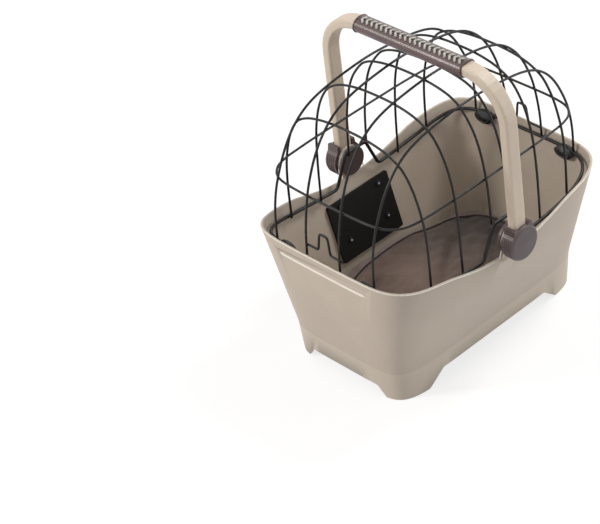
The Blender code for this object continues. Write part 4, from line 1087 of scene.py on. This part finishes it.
def make_lacing():
    """Threads across the sleeve's seam, their holes, the seam and the hems at both ends."""
    low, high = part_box("grip_sleeve")
    centre = (low + high) / 2
    shape = surface_of(NODES["grip_sleeve"])
    reach = high.x - low.x

    def on_sleeve(angle, y, lift):
        out = Vector((math.cos(angle), 0, math.sin(angle)))
        start = Vector((centre.x, y, centre.z)) + out * reach
        spot, normal, _, _ = shape.ray_cast(start, -out)
        return spot + normal * lift

    base, extra = LACE_LIFT_SHARES
    threads = bmesh.new()
    holes = bmesh.new()
    count = int((high.y - low.y - 2 * LACE_END) / LACE_PITCH)
    first = centre.y - LACE_PITCH * (count - 1) / 2
    for k in range(count):
        tip = first + LACE_PITCH * k
        for side in (1, -1):
            path = []
            for i in range(LACE_POINTS):
                share = i / (LACE_POINTS - 1)
                angle = LACE_ANGLE + side * LACE_SPREAD * share
                turn = LACE_BULGE_START + (1 - LACE_BULGE_START) * share
                bulge = math.sin(math.pi * turn)
                lift = LACE_RADIUS * (base + extra * bulge)
                path.append(on_sleeve(angle, tip - LACE_REACH * share, lift))
            tube(threads, path, LACE_RADIUS)
            end = path[-1]
            inner = on_sleeve(LACE_ANGLE + side * LACE_SPREAD, end.y, -LACE_RADIUS)
            outer = on_sleeve(LACE_ANGLE + side * LACE_SPREAD, end.y, HOLE_RISE)
            tube(holes, [inner, outer], HOLE_RADIUS)
    lacing = add_mesh("sleeve_lacing", threads, LACE)
    eyelets = add_mesh("sleeve_holes", holes, SEAM_DARK)
    line = bmesh.new()
    length = high.y - low.y - 2 * HEM_RADIUS
    run = [low.y + HEM_RADIUS + length * k / HEM_POINTS for k in range(HEM_POINTS + 1)]
    for side in (SEAM_LINE_SHARE, -SEAM_LINE_SHARE):
        angle = LACE_ANGLE + side * LACE_SPREAD
        tube(line, [on_sleeve(angle, y, 0.0) for y in run], SEAM_LINE_RADIUS)
    seam = add_mesh("sleeve_seam", line, SEAM_DARK)
    hems = bmesh.new()
    for y in (low.y + HEM_RADIUS, high.y - HEM_RADIUS):
        ring = [on_sleeve(360 * DEG * k / HEM_POINTS, y, 0.0) for k in range(HEM_POINTS)]
        tube(hems, ring, HEM_RADIUS, closed=True)
    hem = add_mesh("sleeve_hems", hems, LEATHER)
    for piece in (lacing, eyelets, seam, hem):
        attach(piece, "handle")


make_lacing()


# Ribs on the hub cups


def make_ribs(letter):
    """Thin ribs round one cup, counted from the side that faces the tub."""
    low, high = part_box(f"hub_cup_{letter}")
    reach = (high.x - low.x) / 2
    bm = bmesh.new()
    for share in RIB_SHARES:
        y = low.y + (high.y - low.y) * (share if low.y > 0 else 1 - share)
        ring = []
        for k in range(RIB_POINTS + 1):
            angle = RIB_START + (RIB_END - RIB_START) * k / RIB_POINTS
            x = reach * math.cos(angle)
            ring.append(Vector((x, y, CUP_CENTRE + reach * math.sin(angle))))
        tube(bm, ring, RIB_RADIUS)
    ribs = add_mesh(f"hub_ribs_{letter}", bm, HUB)
    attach(ribs, "handle")


for hub_letter in ("a", "b"):
    make_ribs(hub_letter)


# Light and floor


def add_area(name, place, target, size, power, colour):
    data = bpy.data.lights.new(name, "AREA")
    data.shape = "DISK"
    data.size = size
    data.energy = power
    data.color = colour
    obj = bpy.data.objects.new(name, data)
    bpy.context.scene.collection.objects.link(obj)
    obj.location = place
    obj.rotation_euler = (Vector(target) - Vector(place)).to_track_quat("-Z", "Y").to_euler()


def seen_directly(tree):
    """1 for rays from the camera, from a glossy surface or through glass."""
    path = node(tree, "ShaderNodeLightPath").outputs
    shiny = math_node(tree, "MAXIMUM", path["Is Glossy Ray"], path["Is Transmission Ray"])
    return math_node(tree, "MAXIMUM", path["Is Camera Ray"], shiny)


def make_world(strength):
    """Soft light of the given strength that looks plain white where it is seen directly."""
    world = bpy.data.worlds.new("studio")
    world.use_nodes = True
    tree = world.node_tree
    tree.nodes.clear()
    light = node(tree, "ShaderNodeBackground", {"Color": (1, 1, 1, 1), "Strength": strength})
    white = node(tree, "ShaderNodeBackground", {"Color": (1, 1, 1, 1), "Strength": 1.0})
    values = {0: seen_directly(tree), 1: light.outputs[0], 2: white.outputs[0]}
    both = node(tree, "ShaderNodeMixShader", values)
    node(tree, "ShaderNodeOutputWorld", {"Surface": both.outputs[0]})
    bpy.context.scene.world = world


def make_floor():
    """Pale paper that glows a little where it is seen directly."""
    bm = bmesh.new()
    bmesh.ops.create_grid(bm, x_segments=FLOOR_CELLS, y_segments=FLOOR_CELLS, size=FLOOR_HALF)
    material = bpy.data.materials.new("floor_paper")
    material.use_nodes = True
    tree = material.node_tree
    tree.nodes.clear()
    coords = node(tree, "ShaderNodeTexCoord").outputs["Object"]
    fibre = noise(tree, coords, FLOOR_SCALE, 2.0)
    darker, lighter = FLOOR_TINTS
    tint = ramp(tree, fibre, ((0.3, darker), (0.7, lighter)))
    paper = node(tree, "ShaderNodeBsdfDiffuse", {"Color": tint})
    glow = node(tree, "ShaderNodeEmission", {"Color": (1, 1, 1, 1), "Strength": FLOOR_GLOW})
    share = math_node(tree, "MULTIPLY", seen_directly(tree), FLOOR_GLOW_SHARE)
    values = {0: share, 1: paper.outputs[0], 2: glow.outputs[0]}
    both = node(tree, "ShaderNodeMixShader", values)
    node(tree, "ShaderNodeOutputMaterial", {"Surface": both.outputs[0]})
    floor = add_mesh("floor", bm, material, smooth=False)


make_world(SKY_STRENGTH)
make_floor()
for lamp in LAMPS:
    add_area(*lamp)
bpy.context.scene.view_settings.view_transform = "Standard"
